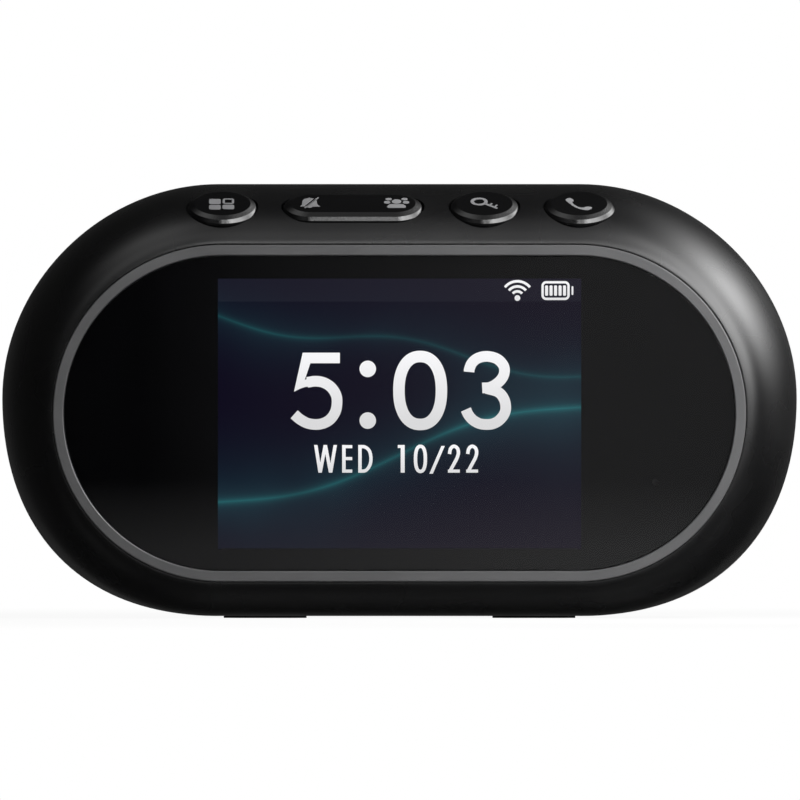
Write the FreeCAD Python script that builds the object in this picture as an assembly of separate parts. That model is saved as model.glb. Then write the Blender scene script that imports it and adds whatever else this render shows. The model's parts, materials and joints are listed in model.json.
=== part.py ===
import FreeCAD, Part
import math
import os

from FreeCAD import Placement, Rotation, Vector

# Intercom indoor station: a free-standing pill-shaped housing with a display behind an oval
# window, and three round keys and one rocker key along its sloping top.
# Millimetres. +X is the viewer's right, +Y runs from the display to the back, +Z is up.
# The origin is on the table under the middle of the station.

# Housing form, which grows from the window by a band on each side
band_above = 11.9
band_below = 6.7
band_beside = 10.1
body_depth = 40.0
foot_proud = 0.4
wall = 2.0
widest_rise = 2.9
upper_end_reach = 42.0
lower_end_reach = 41.0
upper_end_fullness = 0.539
lower_end_fullness = 0.618
top_bulge_run = 31.0
side_bulge_run = 33.0
bottom_bulge_run = 12.0
lip_start_deg = 4.0
lip_width = 0.5
front_wall_depth = 4.0
cavity_knee_depth = 12.0

# Trim ring and window, which reach past the display's view by a margin
window_margin_side = 31.85
window_margin_height = 6.25
ring_band = 2.05
ring_depth = 2.0
ring_edge = 0.2
ring_gap = 0.15
lens_gap = 0.15
lens_recess = 0.3
tape_thickness = 0.2
tape_inset = 1.2
tape_band = 3.0
tape_side_length = 30.0

# Display module
view_width = 70.1
view_height = 52.5
shelf_window_margin = 1.4
display_width = 76.9
display_border_top = 3.6
display_border_bottom = 7.7
display_thickness = 3.2
display_seat_depth = 1.0
display_seat_clearance = 0.3
display_tray_wall = 0.4
display_tray_floor = 0.4
display_glass_thickness = 1.3
display_fit = 0.1
gasket_thickness = 0.2
gasket_band = 2.0

# Display bracket and main board
bracket_plate = 1.4
bracket_band = 9.0
bracket_spacer = 2.0
post_half = 2.2
post_gap = 0.5
board_margin = 2.6
board_screw_rise = 24.0
board_height = 56.0
board_thickness = 1.6
hook_arm = 1.4
hook_catch = 0.8
hook_play = 0.15
hook_width = 5.0

# Parts on the back of the main board: middle across and up from the window's middle, width,
# height and thickness
processor = (-4.0, 2.0, 14.0, 14.0, 1.4)
memory = (-20.0, 4.0, 10.0, 9.0, 1.0)
converter = (10.0, -12.0, 5.0, 5.0, 0.9)
inductor = (20.0, -12.0, 5.0, 5.0, 2.4)
amplifier = (-14.0, -14.0, 8.0, 6.0, 1.5)
radio_carrier = (24.0, 16.0, 17.0, 15.0, 0.8)
radio_can = (24.0, 15.0, 15.0, 12.0, 2.8)

# Keys on the sloping deck
key_tilt_deg = 25.0
key_proud = 0.5
key_x = {"menu_key": -34.2, "unlock_key": 16.4, "call_key": 34.7}
key_radius = 6.75
key_bevel_width = 0.75
key_bevel_drop = 0.5
key_gap = 0.2
key_crown = 1.4
key_skirt_wall = 1.3
key_stem_side = 2.6
key_stem_drop = 4.9
key_lug_reach = 1.0
key_lug_width = 3.0
key_lug_thickness = 0.8
key_lug_clearance = 0.05
key_rib_width = 1.2
key_rib_proud = 0.5
key_rib_rise = 0.6
key_travel = 0.4
deck_half_length = 44.0
deck_front = 8.0
deck_back = 8.0
deck_depth = 3.8

# Rocker key
rocker_x = -9.0
rocker_length = 27.2
rocker_width = 11.0
rocker_gap = 0.25
rocker_skirt_drop = 3.5
rocker_foot_x = 9.0
rocker_foot_clearance = 0.1
rocker_hub_half = 2.8
rocker_hub_side = 3.2
rocker_pin_drop = 4.7
rocker_pin_radius = 0.75
rocker_pin_half = 6.6
rocker_pin_running = 0.05
rocker_pin_fixed = 0.01
rocker_cradle_half = 2.2
rocker_cradle_depth = 1.6
rocker_cradle_floor = 0.8

# Tact switches and their board
switch_side = 6.0
switch_height = 1.9
switch_corner = 0.8
switch_leg_width = 0.7
switch_leg_reach = 0.9
switch_leg_thickness = 0.25
plunger_side = 2.4
plunger_proud = 0.6
plunger_depth = 0.5
plunger_running = 0.05
key_board_half = 42.0
key_board_front = 4.0
key_board_back = 9.2
key_board_thickness = 1.2
key_board_post = 2.0
key_board_post_x = (-25.0, 7.1, 25.5)
key_board_hook_width = 4.0
key_board_hook_v = 4.5

# Rear cover
cover_depth = 7.0
cover_reveal = 0.3
cover_wall = 2.0
cover_tongue_wall = 1.0
cover_tongue_length = 2.0
cover_tongue_gap = 0.1
cover_inner_draft = 1.4
back_round_depth = 6.5
back_round_inset = 7.0
cover_screw_edge = 13.0
cover_boss_side = 6.8
cover_sink_radius = 2.8
cover_sink_depth = 3.4
cover_catch_x = 25.0
cover_catch_width = 6.0
cover_catch_proud = 0.6
cover_catch_thickness = 0.8
cover_catch_play = 0.1

# Screws, one size for the housing and one for the boards
cover_screw_radius = 1.2
cover_screw_grip = 9.0
cover_screw_head_radius = 2.3
cover_screw_head_height = 1.7
small_screw_radius = 0.9
small_screw_head_radius = 1.7
small_screw_head_height = 1.2
board_screw_grip = 3.3
screw_hole_play = 0.2
screw_hole_end = 0.3
screw_bite = 0.02
recess_width = 0.6
recess_reach = 1.4
recess_depth = 0.8

# Loudspeaker behind the back grille
speaker_edge = 33.0
speaker_width = 28.0
speaker_height = 40.0
speaker_flange_thickness = 1.0
speaker_flange_band = 2.5
speaker_gasket_thickness = 0.7
speaker_basket_depth = 7.0
speaker_basket_taper = 4.0
speaker_sheet = 0.8
speaker_magnet_width = 13.0
speaker_magnet_height = 20.0
speaker_magnet_depth = 4.0
speaker_roll = 1.2
speaker_shelf_depth = 1.4
speaker_shelf_width = 0.8
speaker_cone_depth = 3.0
speaker_cone_gap = 0.15
speaker_cap_half = 4.5
grille_pitch = 2.8
grille_slot = 1.3
grille_slots = 7
grille_height = 30.0
grille_shortening = 1.5

# Microphone behind the window
mic_board_gap = 1.35
mic_drop = 13.4
mic_hole_radius = 0.7
mic_channel_side = 1.8
mic_boot_side = 8.0
mic_boot_floor = 0.8
mic_boot_length = 3.2
mic_board_side = 6.0
mic_board_thickness = 0.8
mic_can_width = 3.8
mic_can_height = 3.0
mic_can_thickness = 1.1

# Battery pack on the rear cover
battery_x = 12.0
battery_length = 56.0
battery_height = 42.0
battery_thickness = 7.0
battery_edge = 2.4
battery_tape = 0.3
battery_tape_inset = 6.0
battery_cap_length = 3.5
battery_cap_inset = 2.0

# Corner ribs that hold the battery and the loudspeaker on the rear cover
rib_height = 3.5
rib_width = 1.4
rib_length = 8.0
rib_gap = 0.3

# Charging socket
usb_z = 12.0
usb_width = 8.94
usb_height = 3.26
usb_shell_wall = 0.3
usb_recess = 0.5
usb_cutout_gap = 0.35
usb_floor = 1.0
usb_tongue_width = 6.7
usb_tongue_height = 0.7
usb_tongue_length = 6.0
usb_board_width = 26.0
usb_board_height = 9.0
usb_board_thickness = 1.2
usb_board_y = 10.0
usb_guide_width = 2.4
usb_guide_bite = 1.4
usb_guide_play = 0.05
usb_guide_lip = 1.0

# Sockets and leads
lead_socket_width = 6.0
lead_socket_height = 5.0
lead_socket_depth = 4.5
lead_thickness = 1.2
lead_width = 2.4
lead_bend = 2.0
lead_swing = 5.0
flex_thickness = 0.25
flex_bend = 0.6
battery_socket_x = 36.0
battery_socket_rise = 6.0
speaker_socket_x = -36.0
speaker_socket_rise = -4.0
mic_socket_x = 36.0
mic_lead_width = 1.2
mic_lead_thickness = 0.8
usb_lead_x = 4.0
usb_lead_width = 5.0
usb_lead_straight = 0.3
usb_socket_rise = -24.0
key_socket_x = -13.0
key_socket_rise = 24.6
key_socket_width = 12.0
key_socket_height = 4.0
key_socket_depth = 1.1
key_flex_half = 4.5
key_flex_drop = 1.7
display_flex_half = 13.0
display_flex_drop = 0.75
display_flex_lap = 3.0

# Antenna strip and feet
antenna_length = 38.0
antenna_height = 6.0
antenna_thickness = 0.3
antenna_x = 8.0
antenna_z = 69.5
antenna_lead_side = 0.8
antenna_lead_x = 21.0
foot_x = 26.0
foot_width = 16.0
foot_length = 15.0
foot_seat = 1.0
foot_corner = 3.0
foot_play = 0.05

# Places worked out from the sizes above
ring_width = view_width + 2 * window_margin_side
ring_height = view_height + 2 * window_margin_height
body_width = ring_width + 2 * band_beside
body_height = ring_height + band_above + band_below
front_y = -body_depth / 2
back_y = body_depth / 2
base_z = foot_proud
top_z = base_z + body_height
mid_z = base_z + body_height / 2
ring_z = base_z + band_below + ring_height / 2
ring_floor_y = front_y + ring_depth
cavity_y = front_y + front_wall_depth
parting_y = back_y - cover_depth
cover_face_y = back_y - cover_wall
lens_front_y = front_y + lens_recess
lens_back_y = ring_floor_y - tape_thickness
lens_width = ring_width - 2 * (ring_band + lens_gap)
lens_height = ring_height - 2 * (ring_band + lens_gap)
display_seat_y = cavity_y - display_seat_depth
display_front_y = display_seat_y + gasket_thickness
display_back_y = display_front_y + display_thickness
display_low_z = ring_z - view_height / 2 - display_border_bottom
display_high_z = ring_z + view_height / 2 + display_border_top
bracket_back_y = display_back_y + bracket_plate
board_front_y = bracket_back_y + bracket_spacer
board_back_y = board_front_y + board_thickness
post_x = display_width / 2 + display_seat_clearance + post_gap + post_half
board_half = post_x + board_margin
lead_plug_y = board_back_y + lead_socket_depth / 2
switch_top_w = -key_stem_drop - plunger_proud
key_board_top_w = switch_top_w - switch_height
key_board_low_w = key_board_top_w - key_board_thickness
mic_x = board_half + mic_board_gap + mic_boot_side / 2
mic_z = ring_z - mic_drop
cover_screw_x = body_width / 2 - cover_screw_edge
foot_y = (front_y + bottom_bulge_run + back_y - back_round_depth) / 2
speaker_x = speaker_edge - body_width / 2
speaker_face_y = cover_face_y - speaker_gasket_thickness


def box(x0, x1, y0, y1, z0, z1):
    """A block between two corners, given in any order."""
    xs, ys, zs = sorted((x0, x1)), sorted((y0, y1)), sorted((z0, z1))
    return Part.makeBox(xs[1] - xs[0], ys[1] - ys[0], zs[1] - zs[0], Vector(xs[0], ys[0], zs[0]))


def block(x, z, width, height, y0, y1):
    """A block with its middle at x, z that runs front to back."""
    return box(x - width / 2, x + width / 2, y0, y1, z - height / 2, z + height / 2)


def rod(radius, start, direction, length):
    """A cylinder from a start point along a direction."""
    return Part.makeCylinder(radius, length, start, direction)


def rod_y(radius, x, z, y0, y1):
    """A cylinder that runs front to back."""
    return rod(radius, Vector(x, y0, z), Vector(0, 1, 0), y1 - y0)


def joined(shapes):
    """One solid from several that overlap or touch."""
    first, rest = shapes[0], shapes[1:]
    return first.fuse(rest).removeSplitter() if rest else first


def apart(shapes):
    """Several separate solids kept as one group."""
    return Part.makeCompound(shapes)


def stadium_wire(width, height, place):
    """A straight-sided outline with half-round ends, width along X, in the plane that place gives."""
    radius = height / 2
    reach = width / 2 - radius
    top_left, top_right = Vector(-reach, radius, 0), Vector(reach, radius, 0)
    low_right, low_left = Vector(reach, -radius, 0), Vector(-reach, -radius, 0)
    edges = [
        Part.LineSegment(top_left, top_right).toShape(),
        Part.Arc(top_right, Vector(width / 2, 0, 0), low_right).toShape(),
        Part.LineSegment(low_right, low_left).toShape(),
        Part.Arc(low_left, Vector(-width / 2, 0, 0), top_left).toShape(),
    ]
    wire = Part.Wire(edges)
    wire.Placement = place
    return wire


def stadium_y(width, height, x, z, y0, y1):
    """A stadium prism that runs front to back."""
    upright = Placement(Vector(x, y0, z), Rotation(Vector(1, 0, 0), 90))
    face = Part.Face(stadium_wire(width, height, upright))
    return face.extrude(Vector(0, y1 - y0, 0))


def turned(points):
    """A solid of revolution round the Z axis from (radius, height) points."""
    profile = [Vector(radius, 0, height) for radius, height in points]
    face = Part.Face(Part.makePolygon(profile + profile[:1]))
    return face.revolve(Vector(0, 0, 0), Vector(0, 0, 1), 360)


def edges_along(shape, axis):
    """The straight edges of a block that run along an axis."""
    found = []
    for edge in shape.Edges:
        run = (edge.Vertexes[-1].Point - edge.Vertexes[0].Point).normalize()
        if abs(abs(run.dot(axis)) - 1) < 1e-6:
            found.append(edge)
    return found


def ribbon(points, thickness, radius, width_axis):
    """A flat lead along straight runs joined by arcs, as wide as width_axis is long."""
    path = bent_path(points, radius)
    start = points[0]
    first = (points[1] - points[0]).normalize()
    side = width_axis.cross(first).normalize() * (thickness / 2)
    half = width_axis / 2
    corners = [start + side - half, start + side + half, start - side + half, start - side - half]
    section = Part.makePolygon(corners + corners[:1])
    return path.makePipeShell([section], True, False, 2)


def bent_path(points, radius):
    """Straight runs joined by tangent arcs of one radius."""
    edges = []
    here = points[0]
    for before, corner, after in zip(points, points[1:], points[2:]):
        inward = (before - corner).normalize()
        outward = (after - corner).normalize()
        half = (math.pi - inward.getAngle(outward)) / 2
        reach = radius * math.tan(half)
        start = corner + inward * reach
        end = corner + outward * reach
        middle = corner + (inward + outward).normalize() * (radius / math.cos(half) - radius)
        edges.append(Part.LineSegment(here, start).toShape())
        edges.append(Part.Arc(start, middle, end).toShape())
        here = end
    edges.append(Part.LineSegment(here, points[-1]).toShape())
    return Part.Wire(edges)


def between(low, high, share):
    return low + (high - low) * share


# Form of the housing. Every outline has a straight top and bottom and four quarter curves that
# meet at its widest level. The outline grows from the trim ring to the widest section along
# quarter ellipses, a quick one below and slow ones above and at the sides.


def rise(depth, run):
    """Share of the full bulge that is reached at a depth behind the ring's face."""
    if depth >= run:
        return 1.0
    first = math.radians(lip_start_deg)
    angle = math.acos(math.cos(first) * (1 - depth / run))
    return (math.sin(angle) - math.sin(first)) / (1 - math.sin(first))


def back_inset(depth):
    """How far the rounded back edge has drawn in at a depth behind the ring's face."""
    into = (depth - body_depth + back_round_depth) / back_round_depth
    if into <= 0:
        return 0.0
    return back_round_inset * (1 - math.sqrt(max(0.0, 1 - into**2)))


def slant(depth, run, height):
    """How much longer a straight cut through the sloping wall is than the wall is thick."""
    if depth >= run:
        return 1.0
    angle = math.acos(1 - depth / run)
    return math.hypot(1, height / run / math.tan(angle)) if depth > 0 else 1.0


def housing_section(depth, thickness, inset=0.0):
    """The housing's outline at a depth behind the ring's face.

    It lies inside the outer form by a thickness, square to the sloping wall, and by an inset."""
    lip = ring_gap + lip_width
    side = rise(depth, side_bulge_run)
    lip_top = ring_z + ring_height / 2 + lip
    lip_bottom = ring_z - ring_height / 2 - lip
    lip_half = ring_width / 2 + lip
    top_slant = slant(depth, top_bulge_run, top_z - lip_top)
    bottom_slant = slant(depth, bottom_bulge_run, lip_bottom - base_z)
    side_slant = slant(depth, side_bulge_run, body_width / 2 - lip_half)
    top = between(lip_top, top_z, rise(depth, top_bulge_run)) - thickness * top_slant - inset
    bottom = between(lip_bottom, base_z, rise(depth, bottom_bulge_run)) + thickness * bottom_slant + inset
    half = between(lip_half, body_width / 2, side) - thickness * side_slant - inset
    level = ring_z + widest_rise * side
    ring_reach = (ring_width - ring_height) / 2
    upper_reach = between(ring_reach, body_width / 2 - upper_end_reach, side)
    lower_reach = between(ring_reach, body_width / 2 - lower_end_reach, side)
    circle_fullness = 4 / 3 * math.tan(math.pi / 8)
    upper_full = between(circle_fullness, upper_end_fullness, side)
    lower_full = between(circle_fullness, lower_end_fullness, side)
    y = front_y + depth

    def quarter(sign, reach, height, full):
        return [
            Vector(sign * reach, y, height),
            Vector(sign * between(reach, half, full), y, height),
            Vector(sign * half, y, between(level, height, full)),
            Vector(sign * half, y, level),
        ]

    upper_right = quarter(1, upper_reach, top, upper_full)
    lower_right = quarter(1, lower_reach, bottom, lower_full)
    upper_left = quarter(-1, upper_reach, top, upper_full)
    lower_left = quarter(-1, lower_reach, bottom, lower_full)
    edges = [
        Part.LineSegment(upper_left[0], upper_right[0]).toShape(),
        bezier(upper_right),
        bezier(lower_right[::-1]),
        Part.LineSegment(lower_right[0], lower_left[0]).toShape(),
        bezier(lower_left),
        bezier(upper_left[::-1]),
    ]
    return Part.Wire(edges)


def bezier(poles):
    curve = Part.BezierCurve()
    curve.setPoles(poles)
    return curve.toShape()


def lofted(sections):
    """A solid with straight walls from each section to the next."""
    return Part.makeLoft(sections, True, True)


def housing_form():
    """The front housing's outer form, from the lip round the ring to the parting line."""
    steps = 5
    end = parting_y - front_y
    turns = [math.pi / 2 * n / steps for n in range(steps)]
    depths = [side_bulge_run * (1 - math.cos(turn)) for turn in turns]
    depths = [depth for depth in depths if depth < end - wall] + [end]
    return lofted([housing_section(depth, 0.0) for depth in depths])


def housing_cavity():
    """The space inside the front housing, open at the parting line."""
    end = parting_y - front_y
    tongue = end - cover_tongue_length - cover_tongue_gap
    depths = [front_wall_depth, cavity_knee_depth, (cavity_knee_depth + tongue) / 2, tongue, end]
    return lofted([housing_section(depth, wall) for depth in depths])


def cover_form():
    """The rear cover's outer form with its rounded back edge."""
    steps = 3
    start = body_depth - back_round_depth
    turns = [math.pi / 2 * (n + 1) / steps for n in range(steps)]
    depths = [start + back_round_depth * math.sin(turn) for turn in turns]
    depths = [parting_y + cover_reveal - front_y] + depths
    return lofted([housing_section(depth, 0.0, back_inset(depth)) for depth in depths])


def cover_tongue():
    """The tongue that lines the cover up inside the front housing."""
    inset = wall + cover_tongue_gap
    end = parting_y + cover_reveal - front_y + cover_tongue_wall
    depths = [parting_y - cover_tongue_length - front_y, end]
    return lofted([housing_section(depth, inset) for depth in depths])


def cover_cavity():
    """The space inside the rear cover, which narrows a little towards its back wall."""
    inset = wall + cover_tongue_gap + cover_tongue_wall
    start = housing_section(parting_y - cover_tongue_length - front_y, inset)
    end = housing_section(body_depth - cover_wall, inset + cover_inner_draft)
    return lofted([start, end])


# The deck is the plane that the tops of the keys share. In it u runs along X, v up the slope
# to the back, and w outwards. It lies parallel to the housing where the key centres are.


def deck_placement(x):
    """The frame of a key at x, with its origin on the key's top."""
    tilt = math.radians(key_tilt_deg)
    first = math.radians(lip_start_deg)
    full_rise = top_z - ring_z - ring_height / 2 - ring_gap - lip_width
    steep = full_rise * math.cos(first) / (1 - math.sin(first)) / (top_bulge_run * math.tan(tilt))
    depth = top_bulge_run * (1 - math.cos(math.atan(steep)) / math.cos(first))
    height = top_z - full_rise * (1 - rise(depth, top_bulge_run))
    outward = Vector(0, -math.sin(tilt), math.cos(tilt))
    origin = Vector(x, front_y + depth, height) + outward * key_proud
    return Placement(origin, Rotation(Vector(1, 0, 0), key_tilt_deg))


def on_deck(shape, x=0.0):
    """A shape built in deck coordinates, set on the deck at x."""
    placed = shape.copy()
    placed.Placement = deck_placement(x).multiply(placed.Placement)
    return placed


def deck_rod(radius, u, v, w0, w1):
    return rod(radius, Vector(u, v, w0), Vector(0, 0, 1), w1 - w0)


def deck_pill(length, width, w0, w1):
    face = Part.Face(stadium_wire(length, width, Placement(Vector(0, 0, w0), Rotation())))
    return face.extrude(Vector(0, 0, w1 - w0))


def cross_rod(radius, half, play):
    """A rod up the slope at the rocker's pivot, longer than twice its half by some play."""
    start = Vector(0, -half - play, -rocker_pin_drop)
    return rod(radius, start, Vector(0, 1, 0), 2 * (half + play))


# Screws


def small_screw(x, z, seat_y, length):
    """A pan-head screw driven towards the display, with the face under its head at seat_y."""
    head = rod_y(small_screw_head_radius, x, z, seat_y, seat_y + small_screw_head_height)
    shank = rod_y(small_screw_radius, x, z, seat_y - length, seat_y)
    return joined([head, shank])


def cover_screw(x, z):
    """A cross-recessed screw in the back of the station."""
    seat_y = back_y - cover_sink_depth
    top_y = seat_y + cover_screw_head_height
    head = rod_y(cover_screw_head_radius, x, z, seat_y, top_y)
    shank = rod_y(cover_screw_radius, x, z, seat_y - cover_screw_grip, seat_y)
    flat = block(x, z, 2 * recess_reach, recess_width, top_y - recess_depth, top_y)
    upright = block(x, z, recess_width, 2 * recess_reach, top_y - recess_depth, top_y)
    return joined([head, shank]).cut([flat, upright])


def cover_screw_places():
    return [(-cover_screw_x, mid_z), (cover_screw_x, mid_z)]


def board_screw_places():
    """Two opposite corners of the main board are screwed down."""
    return [(-post_x, ring_z + board_screw_rise), (post_x, ring_z - board_screw_rise)]


def board_hook_places():
    """The other two corners are held by hooks."""
    return [(1, ring_z + board_screw_rise), (-1, ring_z - board_screw_rise)]


# Front housing


def key_board_hooks():
    """Hooks at the ends of the deck, and posts that the key board is pressed against."""
    v_half = key_board_hook_width / 2
    pieces = []
    for sign in (-1, 1):
        inner = sign * (key_board_half + hook_play)
        outer = sign * (key_board_half + hook_play + hook_arm)
        catch = sign * (key_board_half - hook_catch)
        low = key_board_low_w - hook_play
        v0, v1 = key_board_hook_v - v_half, key_board_hook_v + v_half
        arm = box(inner, outer, v0, v1, low - hook_arm, -deck_depth / 2)
        tip = box(catch, outer, v0, v1, low - hook_arm, low)
        pieces.append(joined([arm, tip]))
    middle = (key_board_back - key_board_front) / 2
    for x in key_board_post_x:
        back = key_board_back - key_board_post / 2
        half = key_board_post / 2
        front = back - key_board_post
        pieces.append(box(x - half, x + half, front, back, key_board_top_w, -deck_depth / 2))
    arm_back = key_board_back + hook_play
    tip_front = key_board_back - hook_catch
    for x in key_board_post_x:
        low = key_board_low_w - hook_play
        arm = box(x - v_half, x + v_half, arm_back, arm_back + hook_arm, low - hook_arm, middle)
        tip = box(x - v_half, x + v_half, tip_front, arm_back + hook_arm, low - hook_arm, low)
        pieces.append(joined([arm, tip]))
    return [on_deck(piece) for piece in pieces]


def rocker_cradles():
    """Cheeks under the deck that hold the ends of the rocker's pin."""
    inner = rocker_width / 2 + rocker_gap
    low = -rocker_pin_drop - rocker_pin_radius - rocker_cradle_floor
    half = rocker_cradle_half
    cheeks = [
        box(-half, half, sign * inner, sign * (inner + rocker_cradle_depth), low, -deck_depth / 2)
        for sign in (-1, 1)
    ]
    return [on_deck(cheek, rocker_x) for cheek in cheeks]


def key_holes():
    """Round holes through the deck, each with a groove that keeps its key from turning."""
    cuts = []
    half = key_rib_width / 2 + key_gap
    for x in key_x.values():
        cuts.append(on_deck(deck_rod(key_radius + key_gap, 0, 0, -deck_depth - wall, 2 * key_proud), x))
        reach = key_radius + key_rib_proud + key_gap
        top = -deck_depth + key_rib_rise + key_gap + key_lug_clearance
        cuts.append(on_deck(box(-half, half, 0, reach, -deck_depth - wall, top), x))
    return cuts


def rocker_hole():
    gap = 2 * rocker_gap
    hole = deck_pill(rocker_length + gap, rocker_width + gap, key_board_top_w, 2 * key_proud)
    bore = cross_rod(rocker_pin_radius + rocker_pin_fixed, rocker_pin_half, rocker_pin_fixed)
    return [on_deck(hole, rocker_x), on_deck(bore, rocker_x)]


def board_hook(sign, z):
    """A hook beside the main board that reaches over its edge."""
    inner = sign * (board_half + hook_play)
    outer = sign * (board_half + hook_play + hook_arm)
    catch = sign * (board_half - hook_catch)
    z0, z1 = z - hook_width / 2, z + hook_width / 2
    seat = board_back_y + hook_play
    arm = box(inner, outer, cavity_y - wall / 2, seat + hook_arm, z0, z1)
    tip = box(catch, outer, seat, seat + hook_arm, z0, z1)
    return joined([arm, tip])


def foot(side, play):
    """One rubber foot, or its seat when play is given."""
    x = side * foot_x
    half_x = foot_width / 2 + play
    half_y = foot_length / 2 + play
    pad = box(x - half_x, x + half_x, foot_y - half_y, foot_y + half_y, 0, base_z + foot_seat)
    return pad.makeChamfer(foot_corner, edges_along(pad, Vector(0, 0, 1)))


def foot_pads():
    return apart([foot(sign, 0.0) for sign in (-1, 1)])


def catch_block(x, side, play):
    """A snap lug on the tongue of the rear cover, or its groove in the housing when play is given."""
    edge_z = top_z - wall - cover_tongue_gap if side > 0 else base_z + wall + cover_tongue_gap
    half = cover_catch_width / 2 + play
    y0 = parting_y - cover_tongue_length
    z0 = edge_z - side * cover_tongue_wall / 2
    z1 = edge_z + side * (cover_catch_proud + play)
    return box(x - half, x + half, y0 - play, y0 + cover_catch_thickness + play, z0, z1)


def catch_blocks(play):
    return [catch_block(x, side, play) for x in (-cover_catch_x, cover_catch_x) for side in (-1, 1)]


def front_housing():
    """The front shell: bulged walls, ring and window seat, key deck and what is moulded inside."""
    root_y = cavity_y - wall / 2
    deck = box(-deck_half_length, deck_half_length, -deck_front, deck_back, -deck_depth, 0)
    blocks = [on_deck(deck)] + key_board_hooks() + rocker_cradles()
    side = cover_boss_side
    blocks += [block(x, z, side, side, root_y, parting_y) for x, z in cover_screw_places()]
    post = 2 * post_half
    blocks += [block(x, z, post, post, root_y, display_back_y) for x, z in board_screw_places()]
    hooks = [board_hook(sign, z) for sign, z in board_hook_places()]
    shell = housing_form().cut(housing_cavity().cut(blocks + hooks))
    cuts = key_holes() + rocker_hole()
    gap = 2 * ring_gap
    cuts.append(stadium_y(ring_width + gap, ring_height + gap, 0, ring_z, front_y - 1, ring_floor_y))
    window_width = view_width + 2 * shelf_window_margin
    window_height = view_height + 2 * shelf_window_margin
    cuts.append(block(0, ring_z, window_width, window_height, front_y, cavity_y))
    cuts.append(display_box(-display_seat_clearance, display_seat_y, cavity_y))
    cuts.append(block(mic_x, mic_z, mic_channel_side, mic_channel_side, front_y, cavity_y))
    tip_y = back_y - cover_sink_depth - cover_screw_grip - screw_hole_end
    for x, z in cover_screw_places():
        cuts.append(rod_y(cover_screw_radius + screw_bite, x, z, tip_y, parting_y))
    tip_y = display_back_y - board_screw_grip - screw_hole_end
    for x, z in board_screw_places():
        cuts.append(rod_y(small_screw_radius + screw_bite, x, z, tip_y, display_back_y))
    cuts += [foot(sign, foot_play) for sign in (-1, 1)]
    cuts += catch_blocks(cover_catch_play)
    return shell.cut(cuts)


# Ring and window


def front_rim(shape, y):
    """The edges of a shape that lie in its front plane."""
    return [e for e in shape.Edges if all(abs(v.Point.y - y) < 1e-6 for v in e.Vertexes)]


def trim_ring():
    """The grey band round the window, with small bevels on both front edges."""
    band = stadium_y(ring_width, ring_height, 0, ring_z, front_y, ring_floor_y)
    inner_width = ring_width - 2 * ring_band
    inner_height = ring_height - 2 * ring_band
    band = band.cut(stadium_y(inner_width, inner_height, 0, ring_z, front_y - 1, ring_floor_y + 1))
    return band.makeChamfer(ring_edge, front_rim(band, front_y))


def front_lens():
    """The glossy window with the microphone's sound hole."""
    plate = stadium_y(lens_width, lens_height, 0, ring_z, lens_front_y, lens_back_y)
    return plate.cut(rod_y(mic_hole_radius, mic_x, mic_z, front_y, lens_back_y))


def lens_tape():
    """Strips of tape that hold the window to the front wall: two long ones and two at the ends."""
    strips = []
    for sign in (-1, 1):
        z = ring_z + sign * (lens_height / 2 - tape_inset - tape_band / 2)
        strips.append(block(0, z, lens_width - lens_height, tape_band, lens_back_y, ring_floor_y))
        x = sign * (lens_width / 2 - 2 * tape_inset - tape_band)
        strips.append(block(x, ring_z, tape_band, tape_side_length, lens_back_y, ring_floor_y))
    return apart(strips)


# Display


def display_box(inset, y0, y1):
    """A block of the display module's outline, drawn in by an inset."""
    half = display_width / 2 - inset
    return box(-half, half, y0, y1, display_low_z + inset, display_high_z - inset)


def display_gasket():
    """The foam frame between the front wall and the display."""
    frame = display_box(0.0, display_seat_y, display_front_y)
    return frame.cut(display_box(gasket_band, display_seat_y, display_front_y))


def display_tray():
    """The metal tray of the display module, open to the front."""
    tray = display_box(0.0, display_front_y, display_back_y)
    return tray.cut(display_box(display_tray_wall, display_front_y, display_back_y - display_tray_floor))


def display_glass():
    return display_box(
        display_tray_wall + display_fit, display_front_y, display_front_y + display_glass_thickness
    )


def light_guide():
    """The backlight's light guide and diffuser stack."""
    return display_box(
        display_tray_wall + display_fit,
        display_front_y + display_glass_thickness,
        display_back_y - display_tray_floor,
    )


def edge_notch(x, z, y0, y1):
    """A slot open to the side, in which a board screw stands."""
    half = small_screw_radius + screw_hole_play
    side = math.copysign(1, x)
    return box(x - side * half, x + side * 2 * board_margin, y0, y1, z - half, z + half)


def display_bracket():
    """The plastic frame that holds the display forward and carries the main board on four pads."""
    plate = box(-board_half, board_half, display_back_y, bracket_back_y, display_low_z, display_high_z)
    opening = display_box(bracket_band, display_back_y, bracket_back_y)
    post = 2 * post_half
    pads = [
        block(side * post_x, ring_z + up * board_screw_rise, post, post, display_back_y, board_front_y)
        for side in (-1, 1)
        for up in (-1, 1)
    ]
    notches = [edge_notch(x, z, display_back_y, board_front_y) for x, z in board_screw_places()]
    return joined([plate.cut(opening)] + pads).cut(notches)


def display_flex():
    """The display's ribbon, from its lower edge under the bracket and up to the main board."""
    y0 = display_front_y + display_glass_thickness
    y1 = board_front_y - flex_thickness / 2
    low = display_low_z - display_flex_drop
    points = [
        Vector(0, y0, display_low_z),
        Vector(0, y0, low),
        Vector(0, y1, low),
        Vector(0, y1, ring_z - board_height / 2 + display_flex_lap),
    ]
    return ribbon(points, flex_thickness, flex_bend, Vector(2 * display_flex_half, 0, 0))


# Main board


def main_board():
    """The main circuit board, with open slots at its two screwed corners."""
    plate = block(0, ring_z, 2 * board_half, board_height, board_front_y, board_back_y)
    return plate.cut([edge_notch(x, z, board_front_y, board_back_y) for x, z in board_screw_places()])


def on_board(x, z, width, height, thickness):
    """A component on the back of the main board, with its middle at x, z from the window's middle."""
    return block(x, ring_z + z, width, height, board_back_y, board_back_y + thickness)


def board_chips():
    """Processor, memory, power converter, inductor and sound amplifier."""
    return apart([on_board(*chip) for chip in (processor, memory, converter, inductor, amplifier)])


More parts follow.
